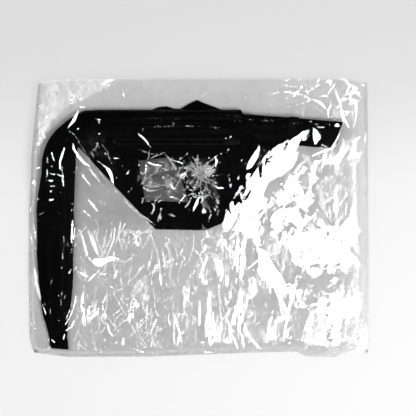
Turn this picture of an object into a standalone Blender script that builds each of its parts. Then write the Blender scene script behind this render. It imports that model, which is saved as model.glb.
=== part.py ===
# Film changing bag: a black bag of outer shell and inner lining, with two zips and two elastic sleeves,
# folded flat and packed in a clear film bag that is open at one end.
# Metres, +Z up. The pack lies on z = 0 with its mouth towards +Y, and the origin is under its middle.
import math
from types import SimpleNamespace

import bmesh
import bpy

# Fits
CLEAR = 0.0003  # gap between pieces that touch
RUN_GAP = 0.0010  # side room for what slides or swings

# Clear packing bag
FILM = 0.0004  # film wall
SEAL = 0.0004  # thickness of the welded band
SEAL_WIDTH = 0.004  # welded band along both sides and the foot
LEFT_MARGIN = 0.0075  # left sleeve to the side seal
RIGHT_MARGIN = 0.030  # end of the right sleeve to the side seal
FOOT_MARGIN = 0.0052  # lowest sweep of the left cuff to the foot seal
MOUTH_MARGIN = 0.039  # folded body to the mouth
HEADROOM = 0.003  # film above the tallest piece below it
EDGE_RUN = 0.028  # distance over which the film climbs from a seal
FILM_COLUMNS = 22
FILM_ROWS = 18

# Fold in the slack of the front film, from the right sleeve's end down to the hanging part's foot
FOLD_TOP = (0.143, 0.1215)  # its ends, from the middle of the pack
FOLD_FOOT = (0.030, 0.004)
FOLD_FALL = 0.055  # slope of the film away from it
FOLD_LEVEL = 0.050  # length of its level top
FOLD_RUN = 0.165  # length over which it comes down
FOLD_BACK_RUN = 0.030  # reach of its short side
FOLD_FADE = 0.040  # past its ends
FOLD_LOW = -0.095  # where the slack ends, towards the foot of the pack
FOLD_LOW_RUN = 0.050

# Folded body
BAR_LENGTH = 0.212  # shoulder to shoulder
BAR_HEIGHT = 0.034
PANEL = 0.0025  # back panel, two plies with turned corners
SHELL = 0.0020  # front panel
SHELL_ROUND = 0.005  # outside radius of the front panel's folds
LINING = 0.0014
LINING_ROUND = 0.003
BIB_INSET_LEFT = 0.029  # left shoulder to the hanging part
BIB_STRAIGHT = 0.060  # upright run of its left side
BIB_DROP = 0.116  # bar to its foot
BIB_FOOT_LEFT = -0.020  # its foot, from the middle of the bar
BIB_FOOT_RIGHT = 0.042
BIB_HEEL = 0.061  # step beside the foot
BIB_HEEL_RISE = 0.009
HEEL_SIDE = 0.014  # upright run above the step
HEEL_LEAN = 0.002
WING_REACH = 0.0345  # right shoulder to the corner that lies beside the right sleeve
WING_DROP = 0.014  # bar to that corner
NECK_REACH = 0.012  # right shoulder to the notch between that corner and the sleeve
NECK_DROP = 0.0035
PEAK_LEFT = 0.010  # turned-out corner above the bar
PEAK_TIP = 0.0315
PEAK_RIGHT = 0.067
PEAK_RISE = 0.013

# Label patch
LABEL = 0.0006
LABEL_WIDTH = 0.048
LABEL_HEIGHT = 0.053
LABEL_LEAN = 0.013  # how far its foot leans to the right
LABEL_DROP = 0.007  # below the zip tape
LABEL_LEFT = -0.044  # its top left corner, from the middle of the bar

# Zips
TAPE = 0.0006
TAPE_REACH = 0.014  # outer zip, middle of the chain to the tape's edge
TAPE_TAIL = 0.006  # tape past the end of the chain
SLIT = 0.0018  # between the two rows of teeth
HEAD = 0.0014  # length of a tooth
SPINE = 0.0019  # band that carries the teeth
BITE = 0.0010  # how deep the tape sits in that band
STOP_LENGTH = 0.003
CROWN_WIDTH = 0.0016
CROWN_LEG = 0.0012
PULL = 0.0010  # thickness of a pull
PULL_BAR = 0.0012  # cross bar that turns in the crown
TOOTH_NECK = 0.15  # half width of a tooth at its root, as a share of the pitch
TOOTH_TIP = 0.24  # half width of its head
PITCH = 0.0030
TEETH = 0.0022
PLATE = 0.0008
PLATE_NOSE = 0.40  # half widths of a slider's plate, as shares of its width
PLATE_SHOULDER = 0.50
PLATE_WAIST = 0.38
PLATE_TAIL = 0.34
SLIDER_LENGTH = 0.012
SLIDER_WIDTH = 0.0095
CROWN_SPAN = 0.005
CROWN_OPENING = 0.0022
CROWN_BAR = 0.0009
PULL_LENGTH = 0.012
PULL_WIDTH = 0.0052
INNER_PITCH = 0.0026
INNER_TEETH = 0.0016
INNER_PLATE = 0.0006
INNER_SLIDER_LENGTH = 0.010
INNER_SLIDER_WIDTH = 0.0085
INNER_CROWN_SPAN = 0.004
INNER_CROWN_OPENING = 0.0020
INNER_CROWN_BAR = 0.0006
INNER_PULL_LENGTH = 0.009
INNER_PULL_WIDTH = 0.0046

# Sleeves
SLEEVE_LENGTH = 0.280  # shoulder to cuff edge
SLEEVE_TOP_WIDTH = 0.028
SLEEVE_WIDTH = 0.048  # at its widest
SLEEVE_THICK = 0.008
SLEEVE_OFFSET = 0.040  # middle of the left sleeve, out from its shoulder
SHOULDER_PULL = 0.0065  # its top leans back to the shoulder by this
CUFF_LEAN = 0.003  # and its cuff leans in by this
SLEEVE_STATIONS = 10
SHOULDER_LAP = 0.005
ELASTIC = 0.0010
ELASTIC_WIDTH = 0.012
ELASTIC_DROP = 0.070  # shoulder to the upper elastic, left sleeve
ELASTIC_REACH = 0.040  # shoulder to the upper elastic, right sleeve
CUFF_WIDTH = 0.024
CUFF_LENGTH = 0.015
CUFF_THICK = 0.004
CUFF_WALL = 0.0010
RUN_THICK = 0.0026  # one run of the folded right sleeve
RIGHT_REACH = 0.1085  # shoulder to its outer fold
RIGHT_ANGLE = -7.5  # degrees, lie of the right sleeve

# Levels worked out from the sizes
FLOOR = FILM + CLEAR  # underside of the folded bag
PANEL_TOP = FLOOR + PANEL
SEAT = PANEL_TOP + CLEAR
LINING_TOP = SEAT + LINING
RIM = FILM + SEAL + 2 * CLEAR  # underside of the front film on its seals

# Plan worked out from the sizes, from the middle of the bar
HALF = BAR_HEIGHT / 2  # also the radius of a shoulder
SHOULDER_X = BAR_LENGTH / 2
INNER_END = SHOULDER_X - HALF - RUN_GAP  # what lies between the shoulders ends here
BIB_LEFT = BIB_INSET_LEFT - SHOULDER_X
ZIP_Y = -HALF - SLIDER_WIDTH / 2 - RUN_GAP
LINING_LOW = ZIP_Y + TAPE_REACH + CLEAR
LINING_HIGH = HALF - SHELL - CLEAR

# Folding of the right sleeve, from its shoulder
RUN_SPACE = max(ELASTIC + 3 * CLEAR, CUFF_THICK + CLEAR - RUN_THICK)  # between two runs
RUN_STEP = RUN_THICK + RUN_SPACE
RUN_BEND = RUN_STEP / 2  # middle radius of a fold
INNER_FOLD = HALF + 2 * RUN_GAP  # where the second run turns, clear of the shoulder
FOLD_BACK = INNER_FOLD + RUN_BEND + RUN_THICK / 2
LAST_RUN = FOLD_BACK + SLEEVE_LENGTH - CUFF_LENGTH - RIGHT_REACH - (RIGHT_REACH - INNER_FOLD)
RIGHT_END = max(RIGHT_REACH, LAST_RUN + CLEAR + CUFF_LENGTH)  # outer fold or cuff, whichever is further

# Lowest reach of the left sleeve as it swings
SLEEVE_SWEEP = math.hypot(SLEEVE_OFFSET + CUFF_WIDTH / 2, SLEEVE_LENGTH)

for old in list(bpy.data.objects):
    bpy.data.objects.remove(old, do_unlink=True)


def finish(name, colour, roughness, metallic=0.0, alpha=1.0):
    made = bpy.data.materials.new(name)
    made.use_nodes = True
    shader = made.node_tree.nodes["Principled BSDF"]
    shader.inputs["Base Color"].default_value = (*colour, 1.0)
    shader.inputs["Roughness"].default_value = roughness
    shader.inputs["Metallic"].default_value = metallic
    shader.inputs["Alpha"].default_value = alpha
    return made


CLEAR_FILM = finish("clear_film", (0.90, 0.91, 0.92), 0.08, alpha=0.25)
BLACK_SHELL = finish("black_shell", (0.012, 0.012, 0.013), 0.55)
BLACK_LINING = finish("black_lining", (0.016, 0.016, 0.017), 0.75)
BLACK_TAPE = finish("black_tape", (0.014, 0.014, 0.015), 0.8)
BLACK_TEETH = finish("black_teeth", (0.02, 0.02, 0.02), 0.35)
BLACK_METAL = finish("black_metal", (0.03, 0.03, 0.03), 0.3, metallic=0.6)
BLACK_ELASTIC = finish("black_elastic", (0.018, 0.018, 0.018), 0.85)
GREY_LABEL = finish("grey_label", (0.42, 0.42, 0.42), 0.6)


def pivot(name, parent, x, y, z=0.0, turn=0.0):
    made = bpy.data.objects.new(name, None)
    bpy.context.collection.objects.link(made)
    made.parent = parent
    made.location = (x, y, z)
    made.rotation_euler = (0.0, 0.0, math.radians(turn))
    return made


def piece(name, shape, look, parent=None, soften=0.0):
    bmesh.ops.recalc_face_normals(shape, faces=shape.faces)
    mesh = bpy.data.meshes.new(name)
    shape.to_mesh(mesh)
    shape.free()
    mesh.materials.append(look)
    made = bpy.data.objects.new(name, mesh)
    bpy.context.collection.objects.link(made)
    made.parent = parent
    if soften:
        bevel = made.modifiers.new("soft_edge", "BEVEL")
        bevel.width = soften
        bevel.segments = 2
        bevel.limit_method = "ANGLE"
        bevel.angle_limit = math.radians(50)
    return made


def combine(target, operation, name, shape, parent):
    # A helper solid that is joined to, or cut out of, the target.
    helper = piece(name, shape, target.data.materials[0], parent)
    helper.hide_render = True
    helper.display_type = "WIRE"
    step = target.modifiers.new(name, "BOOLEAN")
    step.operation = operation
    step.object = helper


def arc(x, y, radius, start, end, steps):
    angles = [math.radians(start + (end - start) * i / steps) for i in range(steps + 1)]
    return [(x + radius * math.cos(a), y + radius * math.sin(a)) for a in angles]


def smooth(value):
    share = min(max(value, 0.0), 1.0)
    return share * share * (3 - 2 * share)


def prism(outline, low, high, plane="xy"):
    # Extrudes a flat outline: plane xy rises in z, plane xz runs along y.
    shape = bmesh.new()
    if plane == "xy":
        points = [(a, b, low) for a, b in outline]
        travel = (0, 0, high - low)
    else:
        points = [(a, low, b) for a, b in outline]
        travel = (0, high - low, 0)
    base = shape.faces.new([shape.verts.new(p) for p in points])
    grown = bmesh.ops.extrude_face_region(shape, geom=[base])
    moved = [v for v in grown["geom"] if isinstance(v, bmesh.types.BMVert)]
    bmesh.ops.translate(shape, verts=moved, vec=travel)
    return shape


def block(x, y, z):
    return prism([(x[0], y[0]), (x[1], y[0]), (x[1], y[1]), (x[0], y[1])], z[0], z[1])


def disc(x, y, radius, low, high, steps=32):
    return prism(arc(x, y, radius, 0, 360, steps)[:-1], low, high)


def ribbon(path, low, high, along):
    # A thin surface: an open path in the yz plane swept along x, or in the xz plane swept along y.
    shape = bmesh.new()
    place = (lambda a, b: (low, a, b)) if along == "x" else (lambda a, b: (a, low, b))
    travel = (high - low, 0, 0) if along == "x" else (0, high - low, 0)
    verts = [shape.verts.new(place(a, b)) for a, b in path]
    edges = [shape.edges.new(pair) for pair in zip(verts, verts[1:])]
    grown = bmesh.ops.extrude_edge_only(shape, edges=edges)
    moved = [v for v in grown["geom"] if isinstance(v, bmesh.types.BMVert)]
    bmesh.ops.translate(shape, verts=moved, vec=travel)
    return shape


def thicken(made, thickness, offset):
    wall = made.modifiers.new("wall", "SOLIDIFY")
    wall.thickness = thickness
    wall.offset = offset
    wall.use_even_offset = True


def flat_tube(left, right, low, high, steps=4):
    # Round-sided section of a tube that is pressed flat.
    radius = 0.48 * min(high - low, right - left)
    corners = (
        (right - radius, low + radius, -90),
        (right - radius, high - radius, 0),
        (left + radius, high - radius, 90),
        (left + radius, low + radius, 180),
    )
    return [p for x, z, a in corners for p in arc(x, z, radius, a, a + 90, steps)]


def loft(stations):
    # Skins a row of sections, each a place along y and a closed loop of x and z.
    shape = bmesh.new()
    rings = [[shape.verts.new((x, y, z)) for x, z in loop] for y, loop in stations]
    for first, second in zip(rings, rings[1:]):
        for i in range(len(first)):
            shape.faces.new((first[i - 1], first[i], second[i], second[i - 1]))
    shape.faces.new(rings[0])
    shape.faces.new(rings[-1])
    return shape


def zip_levels(base, teeth, plate, opening, bar):
    # Heights of one zip that lies on a layer whose top is at base.
    level = SimpleNamespace()
    level.under = base + CLEAR
    level.under_top = level.under + plate
    level.teeth = level.under_top + CLEAR
    level.teeth_top = level.teeth + teeth
    level.tape = level.teeth + (teeth - TAPE) / 2
    level.tape_top = level.tape + TAPE
    level.cover = level.teeth_top + CLEAR
    level.cover_top = level.cover + plate
    level.pull = level.cover_top + opening / 2
    level.crown_top = level.cover_top + opening + bar
    return level


OUTER = zip_levels(PANEL_TOP, TEETH, PLATE, CROWN_OPENING, CROWN_BAR)
INNER = zip_levels(LINING_TOP, INNER_TEETH, INNER_PLATE, INNER_CROWN_OPENING, INNER_CROWN_BAR)
LINING_ROOF = INNER.crown_top + CLEAR + LINING
BAR_TOP = LINING_ROOF + CLEAR + SHELL
SHOULDER_TOP = BAR_TOP - SHELL
SLEEVE_ROOF = FLOOR + SLEEVE_THICK
RIGHT_ROOF = FLOOR + 3 * RUN_THICK + 2 * RUN_SPACE + CLEAR + ELASTIC
PULL_ROOF = OUTER.pull + PULL_LENGTH + PULL / 2

# The pack, from the middle of the bar, and where that puts the folded bag
PACK_LEFT = -SHOULDER_X - SLEEVE_OFFSET - SLEEVE_WIDTH / 2 - LEFT_MARGIN - SEAL_WIDTH
PACK_RIGHT = SHOULDER_X + RIGHT_END + RIGHT_MARGIN + SEAL_WIDTH
PACK_FOOT = -SLEEVE_SWEEP - FOOT_MARGIN - SEAL_WIDTH
PACK_MOUTH = HALF + MOUTH_MARGIN
PACK_X = (PACK_RIGHT - PACK_LEFT) / 2
PACK_Y = (PACK_MOUTH - PACK_FOOT) / 2
BAG_X = -(PACK_RIGHT + PACK_LEFT) / 2
BAG_Y = -(PACK_MOUTH + PACK_FOOT) / 2
FULL_RISE = max(BAR_TOP, PULL_ROOF, RIGHT_ROOF, SHOULDER_TOP) + HEADROOM - RIM
LOW_RISE = SLEEVE_ROOF + HEADROOM + CLEAR - RIM


def slack_rise(x, y, rise):
    # The film's loose right side: high along the fold, and falling slowly away from it.
    length = math.dist(FOLD_TOP, FOLD_FOOT)
    run_x = (FOLD_FOOT[0] - FOLD_TOP[0]) / length
    run_y = (FOLD_FOOT[1] - FOLD_TOP[1]) / length
    x -= FOLD_TOP[0]
    along = x * run_x + (y - FOLD_TOP[1]) * run_y
    across = (y - FOLD_TOP[1]) * run_x - x * run_y
    crest = FULL_RISE + (LOW_RISE - FULL_RISE) * smooth((along - FOLD_LEVEL) / FOLD_RUN)
    share = smooth(1 + across / FOLD_BACK_RUN) * smooth((y - FOLD_LOW) / FOLD_LOW_RUN)
    share *= smooth(1 + along / FOLD_FADE) * smooth((length + FOLD_FADE - along) / FOLD_FADE)
    slack = crest - FOLD_FALL * max(across, 0.0)
    return max(rise, rise + (slack - rise) * share)


def film_height(x, y):
    # Underside of the front film: flat on the seals, low over the sleeve, full over the zip and mouth.
    climb = 1.0
    for edge in (x + PACK_X, PACK_X - x, y + PACK_Y):
        share = min(max(edge - SEAL_WIDTH, 0.0) / EDGE_RUN, 1.0)
        climb *= 1 - (1 - share) ** 3
    foot = BAG_Y - HALF - BIB_DROP
    full = BAG_Y + ZIP_Y - TAPE_REACH
    rise = LOW_RISE + (FULL_RISE - LOW_RISE) * smooth((y - foot) / (full - foot))
    return RIM + slack_rise(x, y, rise) * climb


def film_lines(half, count):
    # Grid lines across the film: one on each seal's edge, then closer together near the edges.
    inner = half - SEAL_WIDTH
    middle = [inner * math.sin(math.pi * (i / (count - 2) - 0.5)) for i in range(count - 1)]
    return [-half] + middle + [half]


def make_pack():
    sides = (-PACK_X, PACK_X)
    ends = (-PACK_Y, PACK_Y)
    piece("film_back", block(sides, ends, (0, FILM)), CLEAR_FILM)
    seal = (FILM + CLEAR, FILM + CLEAR + SEAL)
    piece("seal_left", block((-PACK_X, SEAL_WIDTH - PACK_X), ends, seal), CLEAR_FILM)
    piece("seal_right", block((PACK_X - SEAL_WIDTH, PACK_X), ends, seal), CLEAR_FILM)
    reach = PACK_X - SEAL_WIDTH - CLEAR
    piece("seal_foot", block((-reach, reach), (-PACK_Y, SEAL_WIDTH - PACK_Y), seal), CLEAR_FILM)
    shape = bmesh.new()
    bmesh.ops.create_grid(shape, x_segments=FILM_COLUMNS, y_segments=FILM_ROWS, size=1.0)
    columns = film_lines(PACK_X, FILM_COLUMNS)
    rows = film_lines(PACK_Y, FILM_ROWS)
    for vert in shape.verts:
        x = columns[round((vert.co.x + 1) / 2 * FILM_COLUMNS)]
        y = rows[round((vert.co.y + 1) / 2 * FILM_ROWS)]
        vert.co = (x, y, film_height(x, y))
    front = piece("film_front", shape, CLEAR_FILM)
    thicken(front, FILM, 1)


def make_body(bag):
    # Back panel: the strip behind the bar, a round end under each shoulder, and the hanging part.
    low = -HALF - BIB_DROP
    outline = [
        (BIB_LEFT, -HALF),
        (BIB_LEFT, -HALF - BIB_STRAIGHT),
        (BIB_FOOT_LEFT, low),
        (BIB_FOOT_RIGHT, low),
        (BIB_FOOT_RIGHT, low + BIB_HEEL_RISE),
        (BIB_HEEL, low + BIB_HEEL_RISE),
        (BIB_HEEL + HEEL_LEAN, low + BIB_HEEL_RISE + HEEL_SIDE),
        (SHOULDER_X + WING_REACH, -HALF - WING_DROP),
        (SHOULDER_X + NECK_REACH, -HALF - NECK_DROP),
    ]
    outline += arc(SHOULDER_X, 0, HALF, -90, 90, 16)
    outline += [(PEAK_RIGHT, HALF), (PEAK_TIP, HALF + PEAK_RISE), (PEAK_LEFT, HALF)]
    outline += arc(-SHOULDER_X, 0, HALF, 90, 270, 16)
    piece("back_panel", prism(outline, FLOOR, PANEL_TOP), BLACK_SHELL, bag, soften=PANEL / 4)

    # Front panel: folded over as the bar, its lower hem above the zip tape.
    path = [(-HALF, OUTER.tape_top + CLEAR)]
    path += arc(SHELL_ROUND - HALF, BAR_TOP - SHELL_ROUND, SHELL_ROUND, 180, 90, 6)
    path += arc(HALF - SHELL_ROUND, BAR_TOP - SHELL_ROUND, SHELL_ROUND, 90, 0, 6)
    path += [(HALF, SEAT)]
    front = piece("front_panel", ribbon(path, -SHOULDER_X, SHOULDER_X, "x"), BLACK_SHELL, bag)
    thicken(front, SHELL, -1)
    for side, end in (("left", -SHOULDER_X), ("right", SHOULDER_X)):
        room = disc(end, 0, HALF + RUN_GAP, 0, 2 * BAR_TOP, 48)
        combine(front, "DIFFERENCE", f"{side}_shoulder_room", room, bag)

    # Lining: a flat back and a front that folds over the inner zip.
    low, high = LINING_LOW, LINING_HIGH
    sheet = block((-INNER_END, INNER_END), (low, high), (SEAT, LINING_TOP))
    piece("lining_back", sheet, BLACK_LINING, bag)
    path = [(low, LINING_TOP + CLEAR)]
    path += arc(low + LINING_ROUND, LINING_ROOF - LINING_ROUND, LINING_ROUND, 180, 90, 4)
    path += arc(high - LINING_ROUND, LINING_ROOF - LINING_ROUND, LINING_ROUND, 90, 0, 4)
    path += [(high, LINING_TOP + CLEAR)]
    lining = piece("lining_front", ribbon(path, -INNER_END, INNER_END, "x"), BLACK_LINING, bag)
    thicken(lining, LINING, -1)


def make_label(bag):
    top = ZIP_Y - TAPE_REACH - LABEL_DROP
    foot = top - LABEL_HEIGHT
    outline = [
        (LABEL_LEFT, top),
        (LABEL_LEFT + LABEL_LEAN, foot),
        (LABEL_LEFT + LABEL_LEAN + LABEL_WIDTH, foot),
        (LABEL_LEFT + LABEL_WIDTH, top),
    ]
    piece("label_patch", prism(outline, SEAT, SEAT + LABEL), GREY_LABEL, bag)


def make_half(name, bag, made, side):
    # One half of a zip: side is 1 for the half towards the mouth and -1 for the other.
    level = made.level
    front = SLIT / 2
    root = front + HEAD
    back = root + SPINE
    shift = made.pitch / 4 * side
    first = made.start + made.pitch
    outline = [(made.start, side * root)]
    count = int((made.end - made.start) / made.pitch) - 1
    for i in range(count):
        x = first + i * made.pitch + shift
        neck = made.pitch * TOOTH_NECK
        tip = made.pitch * TOOTH_TIP
        outline += [(x - neck, side * root), (x - tip, side * front)]
        outline += [(x + tip, side * front), (x + neck, side * root)]
    outline += [(made.end, side * root), (made.end, side * back), (made.start, side * back)]
    outline = [(x, made.y + y) for x, y in outline]
    teeth = prism(outline, level.teeth, level.teeth_top)
    teeth = piece(f"{made.name}_teeth_{name}", teeth, BLACK_TEETH, bag)
    inner = back - BITE - CLEAR
    groove = sorted(made.y + side * v for v in (inner, back + RUN_GAP))
    run = (made.start - RUN_GAP, made.end + RUN_GAP)
    slot = block(run, groove, (level.tape - CLEAR, level.tape_top + CLEAR))
    combine(teeth, "DIFFERENCE", f"{made.name}_groove_{name}", slot, bag)

    ends = (made.start - TAPE_TAIL, made.end + TAPE_TAIL)
    width = sorted(made.y + side * v for v in (back - BITE, made.reach))
    tape = block(ends, width, (level.tape, level.tape_top))
    piece(f"{made.name}_tape_{name}", tape, BLACK_TAPE, bag)
    width = sorted(made.y + side * v for v in (made.width / 2 + RUN_GAP, made.reach))
    facing = block(ends, width, (level.under, level.tape - CLEAR))
    piece(f"{made.name}_facing_{name}", facing, BLACK_SHELL, bag)


def plate_outline(length, width):
    # A slider's plate: wide at the end where the teeth part, narrow where they leave it.
    rear, front = -length / 2, length / 2
    side = [
        (rear, PLATE_TAIL * width),
        (rear + 0.45 * length, PLATE_WAIST * width),
        (rear + 0.72 * length, PLATE_SHOULDER * width),
        (front - 0.06 * length, PLATE_SHOULDER * width),
        (front, PLATE_NOSE * width),
    ]
    return [(x, -y) for x, y in side] + [(x, y) for x, y in reversed(side)]


def make_slider(made, joint):
    level = made.level
    plate = plate_outline(made.length, made.width)
    body = prism(plate, level.cover, level.cover_top)
    body = piece(f"{made.name}_slider", body, BLACK_METAL, joint)
    sunk = (level.cover_top - level.cover) / 2
    combine(body, "UNION", f"{made.name}_under_plate",
            prism(plate, level.under, level.under_top), joint)
    half = SLIT / 2 - CLEAR
    post = block((0.2 * made.length, 0.42 * made.length), (-half, half),
                 (level.under_top - sunk, level.cover + sunk))
    combine(body, "UNION", f"{made.name}_post", post, joint)
    inside = made.span / 2
    outside = inside + CROWN_LEG
    roof = level.cover_top + made.opening
    chamfer = made.bar
    crown = [
        (-outside, level.cover_top - sunk),
        (-inside, level.cover_top - sunk),
        (-inside, roof),
        (inside, roof),
        (inside, level.cover_top - sunk),
        (outside, level.cover_top - sunk),
        (outside, level.crown_top - chamfer),
        (outside - chamfer, level.crown_top),
        (chamfer - outside, level.crown_top),
        (-outside, level.crown_top - chamfer),
    ]
    arch = prism(crown, -CROWN_WIDTH / 2, CROWN_WIDTH / 2, "xz")
    combine(body, "UNION", f"{made.name}_crown", arch, joint)


def make_pull(made, joint):
    # The pull lies along -x from its cross bar, which sits in the crown's opening at the origin.
    corner = math.hypot(made.span / 2 + CROWN_LEG, made.opening / 2 + made.bar)
    window = corner + CLEAR
    half = made.pull_width / 2
    taper = 0.8 * half
    tip = -made.pull_length
    outline = [(PULL_BAR / 2, -half), (PULL_BAR / 2, half), (-window, half)]
    outline += [(tip + half, taper), (tip, taper / 2), (tip, -taper / 2), (tip + half, -taper)]
    outline += [(-window, -half)]
    pull = prism(outline, -PULL / 2, PULL / 2)
    pull = piece(f"{made.name}_pull", pull, BLACK_METAL, joint)
    side = CROWN_WIDTH / 2 + 2 * CLEAR
    eye = block((-window, -PULL_BAR / 2), (-side, side), (-PULL, PULL))
    combine(pull, "DIFFERENCE", f"{made.name}_pull_eye", eye, joint)


def make_zip(bag, made):
    make_half("upper", bag, made, 1)
    make_half("lower", bag, made, -1)
    half = SLIT / 2 + HEAD + SPINE - BITE - CLEAR
    for name, x in (("left", made.start - CLEAR - STOP_LENGTH), ("right", made.end + CLEAR)):
        stop = block((x, x + STOP_LENGTH), (made.y - half, made.y + half),
                     (made.level.teeth, made.level.teeth_top))
        piece(f"{made.name}_stop_{name}", stop, BLACK_TEETH, bag)
    rest = made.end - made.length / 2
    slider = pivot(f"{made.name}_slider_joint", bag, rest, made.y)
    make_slider(made, slider)
    pull = pivot(f"{made.name}_pull_joint", slider, 0, 0, made.level.pull)
    make_pull(made, pull)


def make_zips(bag):
    make_zip(bag, SimpleNamespace(
        name="outer_zip", level=OUTER, y=ZIP_Y, reach=TAPE_REACH, pitch=PITCH,
        start=BIB_LEFT + TAPE_TAIL + RUN_GAP, end=INNER_END - TAPE_TAIL,
        length=SLIDER_LENGTH, width=SLIDER_WIDTH, span=CROWN_SPAN, opening=CROWN_OPENING,
        bar=CROWN_BAR, pull_length=PULL_LENGTH, pull_width=PULL_WIDTH))
    room = (LINING_HIGH - LINING_LOW) / 2 - LINING - CLEAR
    make_zip(bag, SimpleNamespace(
        name="inner_zip", level=INNER, y=(LINING_HIGH + LINING_LOW) / 2, reach=room,
        pitch=INNER_PITCH, start=TAPE_TAIL + RUN_GAP - INNER_END, end=INNER_END - TAPE_TAIL - RUN_GAP,
        length=INNER_SLIDER_LENGTH, width=INNER_SLIDER_WIDTH, span=INNER_CROWN_SPAN,
        opening=INNER_CROWN_OPENING, bar=INNER_CROWN_BAR, pull_length=INNER_PULL_LENGTH,
        pull_width=INNER_PULL_WIDTH))


def sleeve_section(share, inset=0.0):
    # The left sleeve at a share of its length: narrow at the shoulder, full below it, narrow at the cuff.
    middle = -SLEEVE_OFFSET + SHOULDER_PULL * (1 - share) ** 4 + CUFF_LEAN * share**3
    ends = SLEEVE_TOP_WIDTH + (CUFF_WIDTH - SLEEVE_TOP_WIDTH) * share
    widest = (SLEEVE_TOP_WIDTH + CUFF_WIDTH) / 2
    width = ends + (SLEEVE_WIDTH - widest) * math.sin(math.pi * share**0.8)
    thick = SLEEVE_THICK + (CUFF_THICK - SLEEVE_THICK) * share**3
    half = width / 2 - inset
    return flat_tube(middle - half, middle + half, FLOOR + inset, FLOOR + thick - inset)


def make_left_sleeve(joint):
    top = HALF + 2 * RUN_GAP
    length = SLEEVE_LENGTH - CUFF_LENGTH - CLEAR - top
    groove = (ELASTIC_DROP - top) / length, (ELASTIC_DROP + ELASTIC_WIDTH - top) / length
    inset = ELASTIC + CLEAR
    shares = [i / SLEEVE_STATIONS for i in range(SLEEVE_STATIONS + 1)]
    plain = [(s, 0.0) for s in shares if not groove[0] < s < groove[1]]
    cut = [(groove[0], 0.0), (groove[0], inset), (groove[1], inset), (groove[1], 0.0)]
    upper = [row for row in plain if row[0] <= groove[0]]
    lower = [row for row in plain if row[0] >= groove[1]]
    stations = [(-top - s * length, sleeve_section(s, gap)) for s, gap in upper + cut + lower]
    sleeve = piece("left_sleeve", loft(stations), BLACK_SHELL, joint)

    # The shoulder is bunched cloth over the round end of the back panel.
    edge = [x for x, z in sleeve_section(0.0)]
    lap = -top - SHOULDER_LAP
    outline = arc(0, 0, HALF, -100, 90, 16)
    outline += [(min(edge), RUN_GAP - HALF), (min(edge), lap), (max(edge), lap)]
    combine(sleeve, "UNION", "left_shoulder", prism(outline, SEAT, SHOULDER_TOP), joint)

    # Upper elastic: a band in its groove round the sleeve.
    places = [groove[0] + CLEAR / length, groove[1] - CLEAR / length]
    outer = [(-top - s * length, sleeve_section(s)) for s in places]
    band = piece("left_upper_elastic", loft(outer), BLACK_ELASTIC, joint)
    hole = [(-top - s * length, sleeve_section(s, ELASTIC)) for s in groove]
    before = (hole[0][0] + ELASTIC_WIDTH, hole[0][1])
    after = (hole[1][0] - ELASTIC_WIDTH, hole[1][1])
    combine(band, "DIFFERENCE", "left_upper_elastic_hole", loft([before, *hole, after]), joint)

    make_cuff("left", joint, CUFF_LEAN - SLEEVE_OFFSET, -SLEEVE_LENGTH)


def make_cuff(side, joint, middle, end, turn=0.0):
    # A hem tube with its elastic inside, pressed flat.
    frame = pivot(f"{side}_cuff_frame", joint, 0, 0, turn=turn)
    half = CUFF_WIDTH / 2
    hem = flat_tube(middle - half, middle + half, FLOOR, FLOOR + CUFF_THICK)
    inset = CUFF_WALL
    hole = flat_tube(middle - half + inset, middle + half - inset, FLOOR + inset,
                     FLOOR + CUFF_THICK - inset)
    cuff = piece(f"{side}_cuff", loft([(end, hem), (end + CUFF_LENGTH, hem)]), BLACK_SHELL, frame)
    past = CUFF_LENGTH / 2
    combine(cuff, "DIFFERENCE", f"{side}_cuff_hole",
            loft([(end - past, hole), (end + CUFF_LENGTH + past, hole)]), frame)
    inset = CUFF_WALL + CLEAR
    core = flat_tube(middle - half + inset, middle + half - inset, FLOOR + inset,
                     FLOOR + CUFF_THICK - inset)
    piece(f"{side}_cuff_elastic", loft([(end + CLEAR, core), (end + CUFF_LENGTH - CLEAR, core)]),
          BLACK_ELASTIC, frame)


def make_right_sleeve(joint):
    # Folded twice on itself: the top run goes out from the shoulder, the next comes back, the last
    # goes out again to the cuff.
    bottom = FLOOR + RUN_THICK / 2
    middle, top = bottom + RUN_STEP, bottom + 2 * RUN_STEP
    out = RIGHT_REACH - RUN_BEND - RUN_THICK / 2
    path = [(0.0, top)]
    path += arc(out, top - RUN_BEND, RUN_BEND, 90, -90, 8)
    path += arc(FOLD_BACK, middle - RUN_BEND, RUN_BEND, 90, 270, 8)
    path += [(LAST_RUN, bottom)]
    side = HALF - CLEAR
    sleeve = piece("right_sleeve", ribbon(path, -side, side, "y"), BLACK_SHELL, joint)
    thicken(sleeve, RUN_THICK, 0)
    shoulder = disc(0, 0, HALF, SEAT, top + RUN_THICK / 2 - CLEAR)
    combine(sleeve, "UNION", "right_shoulder", shoulder, joint)

    low, high = top - RUN_THICK / 2 - CLEAR, top + RUN_THICK / 2 + CLEAR
    ends = (ELASTIC_REACH, ELASTIC_REACH + ELASTIC_WIDTH)
    side += CLEAR
    outer = block(ends, (-side - ELASTIC, side + ELASTIC), (low - ELASTIC, high + ELASTIC))
    band = piece("right_upper_elastic", outer, BLACK_ELASTIC, joint)
    past = (ends[0] - ELASTIC_WIDTH, ends[1] + ELASTIC_WIDTH)
    combine(band, "DIFFERENCE", "right_upper_elastic_hole", block(past, (-side, side), (low, high)), joint)

    # The cuff lies under the middle run, in line with the last one.
    make_cuff("right", joint, 0.0, -LAST_RUN - CLEAR - CUFF_LENGTH, turn=90)


make_pack()
BAG = pivot("changing_bag", None, BAG_X, BAG_Y)
make_body(BAG)
make_label(BAG)
make_zips(BAG)
make_left_sleeve(pivot("left_sleeve_joint", BAG, -SHOULDER_X, 0))
make_right_sleeve(pivot("right_sleeve_joint", BAG, SHOULDER_X, 0, turn=RIGHT_ANGLE))
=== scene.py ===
import math

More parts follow.
